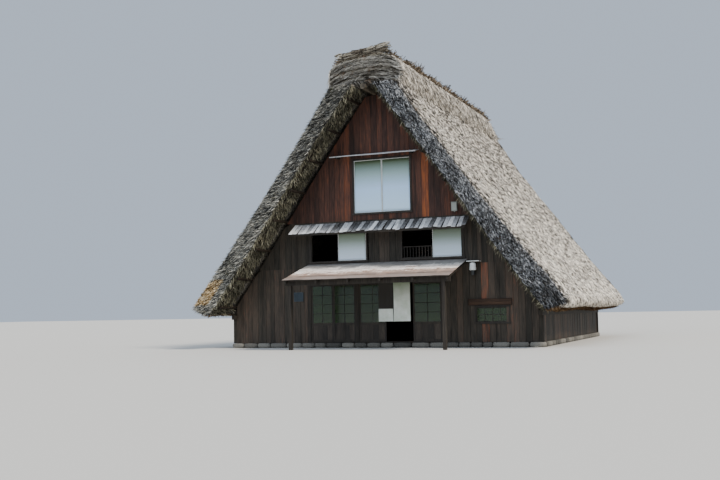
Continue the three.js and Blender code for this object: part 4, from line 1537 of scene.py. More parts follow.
        # Each course's tint is lowest at its foot: painted shade under the course above.
        steps = ((0.0, 0.22), (0.12, 0.34), (0.3, 0.5), (0.5, 0.58), (0.7, 0.64), (0.84, 0.5))
        table = [((k + part) / self.courses, tint, jut) for k, jut in enumerate(juts) for part, tint in steps]
        shares, tints, backs = np.array([(-0.09, 0.35, juts[0] - 0.06), *table]).T
        xs, zs = np.array([self.line(share) for share in shares]).transpose(2, 0, 1)
        points = vectors(xs, y + 0.015 * out - out * backs[:, None], zs).reshape(-1, 3)
        flow = vectors(1, 0.05 * out, np.gradient(zs, axis=1) / np.gradient(xs, axis=1))
        flow[:2] = (0.5, 0.1 * out, -0.8)
        along = vectors(points[:, 0] * 0.2, points[:, 1], np.repeat(shares, self.columns) * 0.7)
        tint = np.repeat(tints, self.columns) + 0.01
        tint += wander(along, (0.3, 0.05, 103), (0.18, 0.17, 104))
        across = self.columns - 1
        faces = grid_faces(len(shares), self.columns, flip=out > 0)
        kept = [face for i, face in enumerate(faces) if i < across or (i // across) % len(steps)]
        loose = (("reed", 1500.0, 0.2, 0.011, 0.16, 0.34), ("straw", 130.0, 0.34, 0.012, 0.45, 0.3))
        for paler, (label, *sizes) in enumerate(loose):
            kind = Stalks(f"ridge_{end}_{label}", CAP_REED, *sizes, 33, "ridge_reed")
            kind.grow(self.tree, self.settled(points), kept, flow.reshape(-1, 3), tint + 0.2 * paler)


@dataclass
class StrawBundles:
    """Straw bundles roped across the ridge, with torn bark and tufts of reed between them."""

    cap: RidgeCap
    wall_y: float
    places: tuple = (-0.83, 1.1, 2.9, 4.7, 6.5, 8.3, 9.9)
    half: float = 0.96
    radius: float = 0.14
    swelling: tuple = (1.5, 1.05, 0.95, 1.1, 1.6)
    ties: tuple = (-0.45, 0.1, 0.5)
    tie_radius: float = 0.014
    strips: int = 11
    front_rise: float = 0.94
    front_tilt: float = 0.103
    front_xs: tuple = (-0.95, -0.8, -0.55, -0.25, 0.1, 0.4, 0.62, 0.93)
    front_radii: tuple = (0.09, 0.155, 0.11, 0.15, 0.11, 0.13, 0.19, 0.15)
    front_ties: tuple = (-0.62, -0.5, 0.0, 0.12, 0.45)
    front_strips: int = 3
    edge_tufts: tuple = (20, 0.25)
    end_tufts: tuple = (70, 0.36)
    tuft_pitch: float = 0.09

    def build(self) -> None:
        """Lay the bundles, the first slumped askew on a pad, with their ropes, the bark and the tufts."""
        maker, rope, bark = MeshMaker(41), MeshMaker(42), MeshMaker(43)
        for i, y in enumerate(np.array(self.places) + self.wall_y):
            if i:
                xs = np.linspace(-self.half, self.half, 5)
                radii = self.radius * np.array(self.swelling)
                middles = self.cap.crown_z(xs) + self.radius * 0.75
                middles += maker.random.uniform(-0.02, 0.05) * xs
                self.straws(maker, y, np.stack([xs, middles, radii]), 96, (0.4, 1.5))
                ties = [(x, self.radius * 1.1) for x in self.ties]
            else:
                xs, radii = np.array(self.front_xs), np.array(self.front_radii)
                middles = self.cap.low.z + self.front_rise + self.front_tilt * xs
                self.straws(maker, y, np.stack([xs, middles, radii]), 260, (0.2, 0.6))
                crown = self.cap.crown_z(xs)
                thick = np.clip((middles - crown) / 2, 0.02, 0.12)
                pad = np.stack([xs, (middles - radii * 0.5 + crown) / 2, thick])
                self.straws(maker, y, pad, 90, (0.2, 0.5))
                ties = [(x, float(np.interp(x, xs, radii)) * 1.02) for x in self.front_ties]
            turns = np.linspace(0, 2 * math.pi, 13)
            for x, radius in ties:
                z = np.interp(x, xs, middles)
                across, up = np.cos(turns), np.sin(turns)
                ring = vectors(x + 0.012 * up, y + radius * across, z + radius * up)
                rope.rod(ring, [self.tie_radius] * len(turns), 6, rope.random.uniform(0.3, 0.6))
            for _ in range(self.strips if i else self.front_strips):
                self.bark_strip(bark, y)
        maker.build("ridge_bundles", BUNDLE_STRAW, "ridge_reed")
        rope.build("ridge_ropes", ROPE, "ridge_reed", smooth=True)
        bark.build("ridge_bark", BARK, "ridge_reed")
        self.tufts()

    def straws(self, maker: MeshMaker, y: float, line: np.ndarray, count: int, long: Span) -> None:
        """Add straws that lie side by side round a middle line.

        Args:
            maker: Where the straws go.
            y: The bundle's place along the ridge.
            line: Places across the ridge, with the middle line's height and the bundle's radius at each.
            count: Number of straws.
            long: Shortest and longest straw.
        """
        rng = maker.random
        xs, middles, radii = line
        for _ in range(count):
            reach = math.sqrt(rng.uniform(0.02, 1.0))
            angle = rng.uniform(0, 2 * math.pi)
            length = rng.uniform(*long)
            start = rng.uniform(xs[0], max(xs[-1] - length, xs[0] + 0.05))
            at = np.linspace(start, min(start + length, xs[-1] + rng.uniform(-0.05, 0.03)), 4)
            swell = np.interp(at, xs, radii) * reach
            stray = rng.uniform(-0.035, 0.035, (2, 1)) * np.linspace(-1, 1, 4)
            stray = stray + rng.uniform(-0.01, 0.01, (2, 4))
            across = y + swell * math.cos(angle) + stray[0]
            height = np.interp(at, xs, middles) + swell * math.sin(angle) + stray[1]
            sizes = rng.uniform(0.010, 0.019) * np.array([1, 1.05, 1, 0.6])
            maker.rod(vectors(at, across, height), sizes, 5, rng.uniform(0.1, 0.95))

    def bark_strip(self, maker: MeshMaker, y: float) -> None:
        """Add one curled strip of bark that lies over the crown near a bundle, its ends torn up.

        Args:
            maker: Where the strip goes.
            y: The bundle's place along the ridge.
        """
        rng = maker.random
        y = np.clip(y + rng.uniform(-0.6, 0.6), self.cap.front + 0.1, self.cap.rear - 0.1)
        shift = rng.uniform(-0.2, 0.45)
        xs = np.clip(np.linspace(-1, 1, 6) * rng.uniform(0.2, 0.8) + shift, -1.1, 1.12)
        curl = np.linspace(-1, 1, 6) ** 4 * rng.uniform(-0.01, 0.09)
        zs = self.cap.crown_z(xs) + rng.uniform(0.0, 0.05) + curl + rng.uniform(-0.012, 0.012, 6)
        skew = np.linspace(-1, 1, 6) * rng.uniform(-0.15, 0.15)
        width = rng.uniform(0.05, 0.13)
        ys = y + skew + np.array([[width / 2], [-width / 2]])
        maker.add(*slab(vectors(xs, ys, zs), (0, 0, -0.014)), rng.uniform(0.2, 0.9))

    def tufts(self) -> None:
        """Stand torn reed up along both edges of the crown, thickest where a bundle ends."""
        maker = MeshMaker(44)
        rng = maker.random
        front, rear = self.cap.front, self.cap.rear
        edges = np.arange(front + 0.1, rear - 0.5, self.tuft_pitch)
        ends = np.array(self.places[1:]) + self.wall_y
        kinds = ((edges, *self.edge_tufts), (ends, *self.end_tufts))
        stands = [(y, side, count, tall) for ys, count, tall in kinds for side in (-1, 1) for y in ys]
        for y, side, count, tall in stands:
            y += rng.uniform(-0.08, 0.08)
            x = side * rng.uniform(0.72, 1.0)
            lift = rng.uniform(0.5, 1.0)
            tone = rng.uniform(0.3, 0.8)
            for _ in range(count):
                root = np.array([x + rng.normal(0, 0.05), y + rng.normal(0, 0.09), 0.0])
                root[1] = np.clip(root[1], front, rear)
                root[2] = self.cap.crown_z(root[0]) + rng.uniform(-0.03, 0.03)
                aim = np.array([side * rng.uniform(-0.2, 0.9), rng.uniform(-0.7, 0.7), rng.uniform(0.0, 0.8)])
                tip = root + aim * tall * lift * rng.uniform(0.5, 1.1)
                tip[1] = np.clip(tip[1], front - 0.08, rear + 0.03)
                path = self.cap.settled(np.array([root, tip]))
                maker.rod(path, (0.019, 0.008), 3, tone + rng.uniform(-0.25, 0.3))
        maker.build("ridge_tufts", BARK, "ridge_reed")


# Walls


@dataclass
class BoardedWall(Piece):
    """Upright boards nailed edge to edge, cut to the slope and round the openings."""

    finish: Finish
    slot: str
    slope: np.ndarray
    facing: int = -1
    openings: tuple = ()
    bright: tuple = ()
    tone: Span = (0.3, 0.7)
    width: Span = (0.13, 0.22)
    least: float = 0.08
    gap: float = 0.005
    proud: float = 0.007

    def build(self) -> None:
        """Nail the boards side by side, and put them in the node's place."""
        for left, right in self.strips(*self.xs, self.width, self.least):
            tone = self.random.uniform(*self.tone)
            for place, value in self.bright:
                if left <= place < right:
                    tone = value
            self.board((left, right - self.gap), self.random.uniform(0, self.proud), tone)
        self.maker.build(self.node + "_boards", self.finish, self.slot, [self.node], bevel=0.003)

    def board(self, xs: Span, shift: float, tone: float) -> None:
        """Add one board in as many lengths as the openings leave.

        Args:
            xs: Its two edges.
            shift: How far its face stands back from the frontmost board.
            tone: Its tone.
        """
        middle = sum(xs) / 2
        spans = [self.zs]
        for (x0, x1), (z0, z1) in self.openings:
            if x0 - self.gap < middle < x1 + self.gap:
                parts = [part for a, b in spans for part in ((a, min(b, z0)), (max(a, z1), b))]
                spans = [(a, b) for a, b in parts if b - a > 0.01]
        near, far = self.ys[::-self.facing]
        depth = sorted((near - self.facing * shift, far))
        for z0, z1 in spans:
            outline = self.cut(xs, z0, z1)
            if outline:
                self.maker.prism(outline[::-1], 1, depth, tone)

    def cut(self, xs: Span, z0: float, z1: float) -> Outline:
        """Cut a board's outline to the slope.

        Args:
            xs: Its two edges.
            z0: Its foot.
            z1: Its head where no slope cuts it.

        Returns:
            Corners in X and Z, anticlockwise, or none where nothing is left.
        """
        widths, heights = self.slope.T
        half = np.interp(z0, heights[::-1], widths[::-1])
        left, right = max(xs[0], -half), min(xs[1], half)
        if right - left < 0.01:
            return []
        ends = [max(min(z1, np.interp(abs(x), widths, heights)), z0 + 0.002) for x in (left, right)]
        return [(left, z0), (right, z0), (right, ends[1]), (left, ends[0])]


@dataclass
class SideWall(Piece):
    """Low boarded wall under the eave, between two corner posts."""

    side: int
    post: float = 0.13
    inset: float = 0.04
    thick: float = 0.05
    width: Span = (0.15, 0.24)
    gap: float = 0.002
    proud: float = 0.008

    def build(self) -> None:
        """Make the posts and the boards, and put them in the node's place."""
        low, high = self.low, self.high
        for y in (low.y, high.y - self.post):
            self.maker.box(self.xs, (y, y + self.post), self.zs, 0.35)
        outer = self.xs[self.side > 0] - self.side * self.inset
        for y0, y1 in self.strips(low.y + self.post, high.y - self.post, self.width):
            depths = (self.random.uniform(0, self.proud), self.thick)
            xs = sorted(outer - self.side * depth for depth in depths)
            self.maker.box(xs, (y0 + self.gap, y1 - self.gap), self.zs, self.random.uniform(0.3, 0.7))
        self.maker.build(self.node + "_boards", DARK_CEDAR, "dark_board", [self.node], bevel=0.003)


@dataclass
class WindowFrame:
    """Jambs, head and sill round an opening, standing a little proud of the boards."""

    name: str
    xs: Span
    zs: Span
    wall_face: float
    facing: int = -1
    jamb: float = 0.05
    proud: float = 0.014
    depth: float = 0.075

    def build(self) -> None:
        """Make the four members."""
        maker = MeshMaker(71)
        (x0, x1), (z0, z1) = self.xs, self.zs
        w = self.jamb
        face = self.wall_face + self.facing * self.proud
        back = face - self.facing * self.depth
        ys = sorted((face, back))
        maker.box((x0 - w, x0 - 0.001), ys, (z0, z1), 0.45)
        maker.box((x1 + 0.001, x1 + w), ys, (z0, z1), 0.5)
        maker.box((x0 - w, x1 + w), ys, (z1 + 0.001, z1 + w * 1.1), 0.4)
        sill = sorted((face + self.facing * 0.012, back))
        maker.box((x0 - w * 1.4, x1 + w * 1.4), sill, (z0 - w * 1.2, z0 - 0.001), 0.5)
        maker.build(self.name, JOINERY, "frame_timber", bevel=0.003)


@dataclass
class StoneRing(Piece):
    """Split stones with worn corners, laid dry under the walls."""

    width: float = 0.24
    length: Span = (0.28, 0.6)
    least: float = 0.15
    squareness: float = 7.0
    roughness: float = 0.05
    cells: int = 4

    def build(self) -> None:
        """Lay the stones along the four sides, and put them in the node's place."""
        low, high, w = np.array(self.low), np.array(self.high), self.width
        for axis, inset in ((0, 0.0), (1, w)):
            order = [axis, 1 - axis, 2]
            start, stop = low[axis] + inset, high[axis] - inset
            for across in (low[1 - axis] + w / 2, high[1 - axis] - w / 2):
                for at, end in self.strips(start, stop, self.length, self.least):
                    centre = np.array([(at + end) / 2, across, sum(self.zs) / 2])
                    half = np.array([(end - at) / 2, w / 2, (high[2] - low[2]) / 2])
                    self.stone(centre[order], half[order])
        self.maker.build("foundation_stones", RIVER_STONE, "stone", [self.node], smooth=True)

    def stone(self, centre: np.ndarray, half: np.ndarray) -> None:
        """Add one stone.

        Args:
            centre: Its middle.
            half: Half its size along X, Y and Z.
        """
        used, faces = skin([self.cells] * 3)
        points = np.array(list(itertools.product(np.linspace(-1, 1, self.cells), repeat=3)))[used]
        power = (np.abs(points) ** self.squareness).sum(axis=1) ** (1 / self.squareness)
        rough = 1 - self.random.uniform(0, self.roughness, (len(points), 3))
        self.maker.add(centre + points / power[:, None] * rough * half, faces, self.random.uniform(0.1, 1.0))


@dataclass
class PlankFloor(Piece):
    """Planks along the house, butted over the frames, on sleepers where the floor lies on the ground."""

    sleepers: int = 0
    width: float = 0.24
    thick: float = 0.045
    lengths: int = 3
    sleeper: float = 0.12

    def build(self) -> None:
        """Lay the planks and the sleepers, and put them in the node's place."""
        low, high = self.low, self.high
        under = high.z - self.thick
        xs = np.linspace(low.x, high.x, round((high.x - low.x) / self.width) + 1)
        ys = np.linspace(low.y, high.y, self.lengths + 1)
        for (x0, x1), (y0, y1) in itertools.product(itertools.pairwise(xs), itertools.pairwise(ys)):
            zs = (under, high.z - self.random.uniform(0, 0.003))
            tone = self.random.uniform(0.3, 0.75)
            self.maker.box((x0 + 0.001, x1 - 0.001), (y0 + 0.001, y1 - 0.001), zs, tone)
        for x in np.linspace(low.x, high.x - self.sleeper, self.sleepers):
            self.maker.box((x, x + self.sleeper), (low.y, high.y), (low.z, under), 0.3)
        self.maker.build(self.node + "_planks", FLOOR_BOARD, "floor_board", [self.node], bevel=0.002)


# Doors, windows and panels


@dataclass
class LatticeDoor(Piece):
    """A wooden door with small panes above and a boarded foot."""

    body: str = HOUSE
    columns: int = 2
    rows: int = 4
    foot: float = 0.55
    stile: float = 0.05
    rail: float = 0.07
    bar: float = 0.018
    foot_boards: int = 4
    gap: float = 0.001
    board_inset: float = 0.009
    bar_insets: Span = (0.004, 0.006)
    pane_edge: float = 0.006
    pane_half: float = 0.002

    def part(self, xs: Span, inset: float, zs: Span, tone: float) -> None:
        """Add one part of the joinery.

        Args:
            xs: Its left and right.
            inset: How far it stands back from both faces of the door.
            zs: Its foot and head.
            tone: Its tone.
        """
        self.maker.box(xs, (self.low.y + inset, self.high.y - inset), zs, tone)

    def build(self) -> None:
        """Make the joinery and the glass in the node's place."""
        low, high, rng = self.low, self.high, self.random
        s, r = self.stile, self.rail
        for xs in ((low.x, low.x + s), (high.x - s, high.x)):
            self.part(xs, 0.0, self.zs, rng.uniform(0.35, 0.6))
        inner, light = (low.x + s, high.x - s), (low.z + r, high.z - r)
        rails = [(low.z, light[0]), (light[1], high.z)]
        if self.foot:
            lock = (low.z + self.foot - r / 2, low.z + self.foot + r / 2)
            for x0, x1 in itertools.pairwise(np.linspace(*inner, self.foot_boards + 1)):
                zs = (light[0], lock[0])
                self.part((x0 + self.gap, x1 - self.gap), self.board_inset, zs, rng.uniform(0.3, 0.8))
            rails.append(lock)
            light = (lock[1], light[1])
        for zs in rails:
            self.part(inner, self.gap, zs, rng.uniform(0.35, 0.6))
        half = self.bar / 2
        for x in np.linspace(*inner, self.columns + 1)[1:-1]:
            self.part((x - half, x + half), self.bar_insets[0], light, 0.5)
        for z in np.linspace(*light, self.rows + 1)[1:-1]:
            self.part(inner, self.bar_insets[1], (z - half, z + half), 0.5)
        self.maker.build(self.node + "_joinery", JOINERY, "glazed_panel", [self.node], self.body, bevel=0.002)
        pane = MeshMaker(102)
        middle, half, edge = (low.y + high.y) / 2, self.pane_half, self.pane_edge
        xs, zs = ((start - edge, stop + edge) for start, stop in (inner, light))
        pane.box(xs, (middle - half, middle + half), zs, 0.5)
        pane.build(self.node + "_glass", PANE, "glazed_panel", body=self.body)


@dataclass
class PaperPanel(Piece):
    """A white sheet stretched on a thin painted frame."""

    finish: Finish
    facing: int = -1
    rim: float = 0.018
    slack: float = 0.004
    inset: float = 0.006
    thick: float = 0.003
    cells: int = 16

    def build(self) -> None:
        """Make the frame and the slack sheet in the node's place."""
        r, n = self.rim, self.cells + 1
        self.maker.frame(self.xs, self.ys, self.zs, r, r, 0.5)
        self.maker.build(self.node + "_rim", PANEL_RIM, "paper", [self.node], bevel=0.002)
        x, z = (np.linspace(start + r, stop - r, n) for start, stop in (self.xs, self.zs))
        face = vectors(x, 0, z[:, None])
        wave = wander(face.reshape(-1, 3) * (0.7, 1, 1.8), (self.slack, 0.45, self.seed))
        face[..., 1] = self.ys[self.facing > 0] - self.facing * self.inset + wave.reshape(n, n)
        solid = slab(face, (0, -self.facing * self.thick, 0), self.facing > 0)
        sheet = mesh_object(self.node + "_sheet", *solid, self.finish, smooth=True)
        finished(sheet, "paper")


# Pent roofs


@dataclass
class SheetPent(Piece):
    """The lower pent: lapped courses of thin sheet on a boarded deck."""

    skin: float = 0.03
    boards: int = 23
    board: Span = (0.012, 0.028)
    courses: int = 5
    across: int = 8
    lap: float = 0.05
    side_lap: float = 0.015
    sheet: float = 0.003
    warp: float = 0.006
    cells: tuple = (6, 9)
    rise: Span = (0.5, 4.0)
    stagger: float = 0.0015
    sink: float = 0.009
    ragged: float = 0.012

    def surface(self, out: np.ndarray) -> tuple[np.ndarray, np.ndarray]:
        """Give Y and Z of the upper face at distances out from the wall."""
        low, high = self.low, self.high
        return high.y - out, high.z - (high.z - low.z - self.skin) * out / (high.y - low.y)

    def build(self) -> None:
        """Make the deck and the courses."""
        reach = self.high.y - self.low.y
        (y0, y1), (z0, z1) = self.surface(np.array([0.001, reach - self.ragged]))
        top, foot = self.board
        ring = [(y0, z0 - foot), (y1, z1 - foot), (y1, z1 - top), (y0, z0 - top)]
        xs = np.linspace(self.low.x + 0.01, self.high.x - 0.01, self.boards + 1)
        for x0, x1 in itertools.pairwise(xs):
            self.maker.prism(ring, 0, (x1 - 0.002, x0 + 0.002), self.random.uniform(0.3, 0.7))
        self.maker.build("lower_pent_deck", TIMBER_Y, "frame_timber")
        self.sheets(reach)

    def sheets(self, reach: float) -> None:
        """Lay the sheets from the wall out, each out of true and toned by its distance from the wall.

        Args:
            reach: How far the pent reaches out from the wall.
        """
        maker = MeshMaker(112)
        rng = maker.random
        pitch, wide = reach / self.courses, (self.high.x - self.low.x) / self.across
        shape = self.cells
        down = np.linspace(0, 1, shape[0])
        for k, i in itertools.product(range(self.courses), range(self.across)):
            start = max(k * pitch - (self.lap if k else 0), 0.001)
            ys, zs = self.surface(np.linspace(start, (k + 1) * pitch - rng.uniform(0, self.ragged), shape[0]))
            x = self.low.x + i * wide
            xs = np.linspace(x - (self.side_lap if i else 0), x + wide, shape[1])
            zs = zs + self.sheet * np.interp(down, (0, 1), self.rise) + self.stagger * (i % 2) - self.sink
            face = vectors(xs, ys[:, None], zs[:, None])
            bend = self.warp * wander(face.reshape(-1, 3), (1.0, 0.35, 113 + k), (0.6, 0.12, 114 + i))
            face[..., 2] += bend.reshape(shape) * (0.2 + 0.8 * down)[:, None]
            share = np.tile((self.high.y - face[..., 1].ravel()) / reach, 2)
            maker.add(*slab(face, (0, 0, -self.sheet)), share + rng.uniform(-0.05, 0.05))
        maker.build("lower_pent_sheets", COURSE_SHEET, "rusted_sheet", [self.node])


@dataclass
class BoardPent(Piece):
    """The upper pent: silvered boards down the slope, no two lying alike."""

    skin: float = 0.028
    count: int = 40
    gap: float = 0.018
    thick: float = 0.016
    skew: float = 0.04
    lift: float = 0.018
    sink: float = 0.014
    feet: Span = (-0.05, 0.008)
    noses: Span = (-0.010, 0.020)
    cup: float = 0.003
    tones: tuple = (0.08, 0.3, 0.45, 0.62, 0.8)
    bleach_and_light: float = 0.34

    def build(self) -> None:
        """Lay the boards in the node's place, each lighter towards its foot: partly bleaching, partly painted
        light where the shade thins.
        """
        low, high, rng = self.low, self.high, self.random
        reach, fall = high.y - low.y, high.z - low.z - self.skin
        pitch = (high.x - low.x) / self.count
        shares = np.linspace(0, 1, 5)[:, None]
        for i in range(self.count):
            x0 = low.x + i * pitch + self.gap / 2
            x1 = x0 + pitch - self.gap
            out = reach + rng.uniform(*self.feet)
            slide = np.clip(rng.uniform(-self.skew, self.skew) * shares, low.x - x0, high.x - x1)
            left, right = rng.uniform(0, self.lift, 2)
            nose = rng.uniform(*self.noses)
            face = vectors(
                np.array([x0, (x0 + x1) / 2, x1]) + slide,
                high.y - 0.001 - shares * (out - 0.001),
                high.z - self.sink - fall * shares * out / reach + nose * shares ** 3
                + 0.7 * np.array([left, (left + right) / 2 - self.cup, right]),
            )
            # Lighter towards the foot: partly sun bleaching, partly painted light, as less shade falls there.
            tone = rng.choice(self.tones) + self.bleach_and_light * shares ** 2
            self.maker.add(*slab(face, (0, 0, -self.thick)), np.tile(np.repeat(tone, 3), 2))
        self.maker.build("upper_pent_boards", SILVER_BOARD, "weathered_board", [self.node])


@dataclass
class WindowHood(Piece):
    """A thin warped plank over the attic window, on two arms."""

    thick: float = 0.022
    arm: float = 0.06
    arm_inset: float = 0.16
    sink: float = 0.012
    fall: float = 0.08
    ripple: float = 0.012
    shape: tuple = (4, 34)

    def build(self) -> None:
        """Make the plank and its arms in the node's place."""
        low, high = self.low, self.high
        reach = high.y - low.y
        rows, columns = self.shape
        out = np.linspace(0.001, reach, rows)[:, None]
        z = high.z - self.sink - self.fall * out / reach
        face = vectors(np.linspace(*self.xs, columns), high.y - out, z)
        flat = face.reshape(-1, 3)
        bend = self.ripple * wander(flat, (1.0, 0.7, 131), (0.5, 0.2, 132))
        face[..., 2] += bend.reshape(self.shape) * np.linspace(0.2, 1, rows)[:, None]
        face[-1, :, 1] += wander(flat[-columns:], (0.012, 0.3, 133))
        self.maker.add(*slab(face, (0, 0, -self.thick)), 0.75)
        self.maker.build("window_hood_plank", SILVER_BOARD_X, "weathered_board", [self.node])
        arms = MeshMaker(135)
        y0, y1 = high.y, low.y + 0.06
        ring = [(y0, high.z - 0.12), (y1, low.z + 0.012), (y1, low.z + 0.05), (y0, high.z - 0.04)]
        for x in (low.x + self.arm_inset, high.x - self.arm_inset - self.arm):
            arms.prism(ring, 0, (x + self.arm, x), 0.4)
        arms.build("window_hood_arms", TIMBER_Y, "frame_timber", bevel=0.004)


# Fittings on the front


@dataclass
class WallLamp(Piece):
    """White enamel lamp on an iron arm, under a small flat hood. Profiles are radius and height pairs."""

    from_left: float = 0.165
    from_wall: float = 0.1125
    sides: int = 24
    plate_half: float = 0.036
    plate_thick: float = 0.03
    arm_radius: float = 0.011
    hood_thick: float = 0.020
    shade: tuple = (
        (0.060, 0.155), (0.092, 0.150), (0.099, 0.165), (0.097, 0.200),
        (0.088, 0.300), (0.080, 0.352), (0.052, 0.370), (0.030, 0.376),
    )
    globe: tuple = ((0.020, 0.0), (0.045, 0.006), (0.058, 0.03), (0.060, 0.09), (0.056, 0.152))

    def turned(self, maker: MeshMaker, profile: Outline) -> None:
        """Add a solid turned about the lamp's axis.

        Args:
            maker: Where the solid goes.
            profile: Radius and height above the lamp's foot, rising.
        """
        n = self.sides
        angles = np.linspace(0, 2 * math.pi, n, endpoint=False)
        axis = np.array([self.low.x + self.from_left, self.high.y - self.from_wall, self.low.z])
        points = [axis + (r * math.cos(a), r * math.sin(a), z) for r, z in profile for a in angles]
        faces = [tuple(reversed(range(n))), tuple(range(len(points) - n, len(points)))]
        for i, j in itertools.product(range(len(profile) - 1), range(n)):
            near, far, k = i * n, (i + 1) * n, (j + 1) % n
            faces.append((near + j, near + k, far + k, far + j))
        maker.add(points, faces, 0.5)

    def build(self) -> None:
        """Make the enamelled parts and the iron parts in the node's place."""
        low, high = self.low, self.high
        self.turned(self.maker, self.shade)
        self.maker.build("lamp_shade", ENAMEL, "enamel", [self.node], bevel=0.002, smooth=True)
        iron = MeshMaker(142)
        self.turned(iron, self.globe)
        self.turned(iron, ((0.022, 0.374), (0.022, high.z - low.z - 0.022)))
        x, y = low.x + self.from_left, high.y - self.from_wall
        xs = (x - self.plate_half, x + self.plate_half)
        iron.box(xs, (high.y - self.plate_thick, high.y), (low.z + 0.02, high.z - 0.02), 0.4)
        arm = ((x, high.y - 0.02, high.z - 0.05), (x, y + 0.02, high.z - 0.045), (x, y, high.z - 0.06))
        iron.rod(np.array(arm), [self.arm_radius] * 3, 10, 0.4)
        iron.build("lamp_iron", LAMP_IRON, "enamel", bevel=0.002)
        hood = MeshMaker(143)
        hood.box(self.xs, self.ys, (high.z - self.hood_thick, high.z), 0.5)
        hood.build("lamp_hood", ENAMEL, "enamel", bevel=0.005)


@dataclass
class SignBoard(Piece):
    """The bare sign board: two planks in a frame."""

    stile: float = 0.02
    rail: float = 0.018

    def build(self) -> None:
        """Make the planks and their frame in the node's place."""
        low, high, maker = self.low, self.high, self.maker
        s = self.stile
        middle = (low.z + high.z) / 2
        maker.box((low.x + s, high.x - s), (low.y + 0.008, high.y), (low.z + 0.015, middle - 0.001), 0.55)
        maker.box((low.x + s, high.x - s), (low.y + 0.009, high.y), (middle + 0.001, high.z - 0.015), 0.45)
        maker.frame(self.xs, self.ys, self.zs, s, self.rail, 0.3)
        maker.build("sign_planks", SIGN_WOOD, "dark_board", [self.node], bevel=0.003)


@dataclass
class MeterBox(Piece):
    """The grey box in the gable."""

    def build(self) -> None:
        """Make its body, raised lid, rain lip, hinges and short outlet in the node's place."""
        low, high, maker = self.low, self.high, self.maker
        maker.box(self.xs, (low.y + 0.018, high.y), (low.z + 0.03, high.z - 0.008), 0.5)
        lid = (low.z + 0.045, high.z - 0.025)
        maker.box((low.x + 0.008, high.x - 0.008), (low.y + 0.006, low.y + 0.020), lid, 0.5)
        maker.box((low.x - 0.006, high.x + 0.006), self.ys, (high.z - 0.012, high.z), 0.5)
        for z in (low.z + 0.08, high.z - 0.07):
            maker.box((high.x - 0.012, high.x + 0.003), (low.y + 0.010, low.y + 0.03), (z, z + 0.03), 0.4)
        x, y = (low.x + high.x) / 2, (low.y + high.y) / 2
        pipe = np.array([(x, y, low.z + rise) for rise in (0, 0.02, 0.035)])
        maker.rod(pipe, (0.016, 0.019, 0.019), 12, 0.4)
        maker.build("gable_box_case", BOX_PAINT, "grey_box", [self.node], bevel=0.003)


@dataclass
class Vent:
    """The small louvred vent beside the entrance."""

    xs: Span = (-2.82, -2.50)
    zs: Span = (1.44, 1.72)
    rim: float = 0.02
    slats: int = 7
    slant: float = 0.7

    def build(self, tree: NodeTree, wall_y: float) -> None:
        """Make the vent's frame and its slats.

        Args:
            tree: The tree made by slat_tree.
            wall_y: Front face of the wall.
        """
        (x0, x1), (z0, z1), w = self.xs, self.zs, self.rim
        maker = MeshMaker(153)
        maker.frame(self.xs, (wall_y - 0.024, wall_y + 0.004), self.zs, w, w, 0.5)
        maker.box((x0 + w, x1 - w), (wall_y - 0.004, wall_y + 0.004), (z0 + w, z1 - w), 0.5)
        maker.build("vent_frame", VENT_PAINT, "grey_box", bevel=0.002)
        pitch = (z1 - z0 - 2 * w) / self.slats
        start = ((x0 + x1) / 2, wall_y - 0.012, z0 + w + pitch / 2)
        size = (x1 - x0 - 2 * w, 0.024, 0.004)
        row = (self.slats, start, (0, 0, pitch), size, self.slant)
        SlatRow("vent_slats", VENT_PAINT, "grey_box", *row).build(tree)


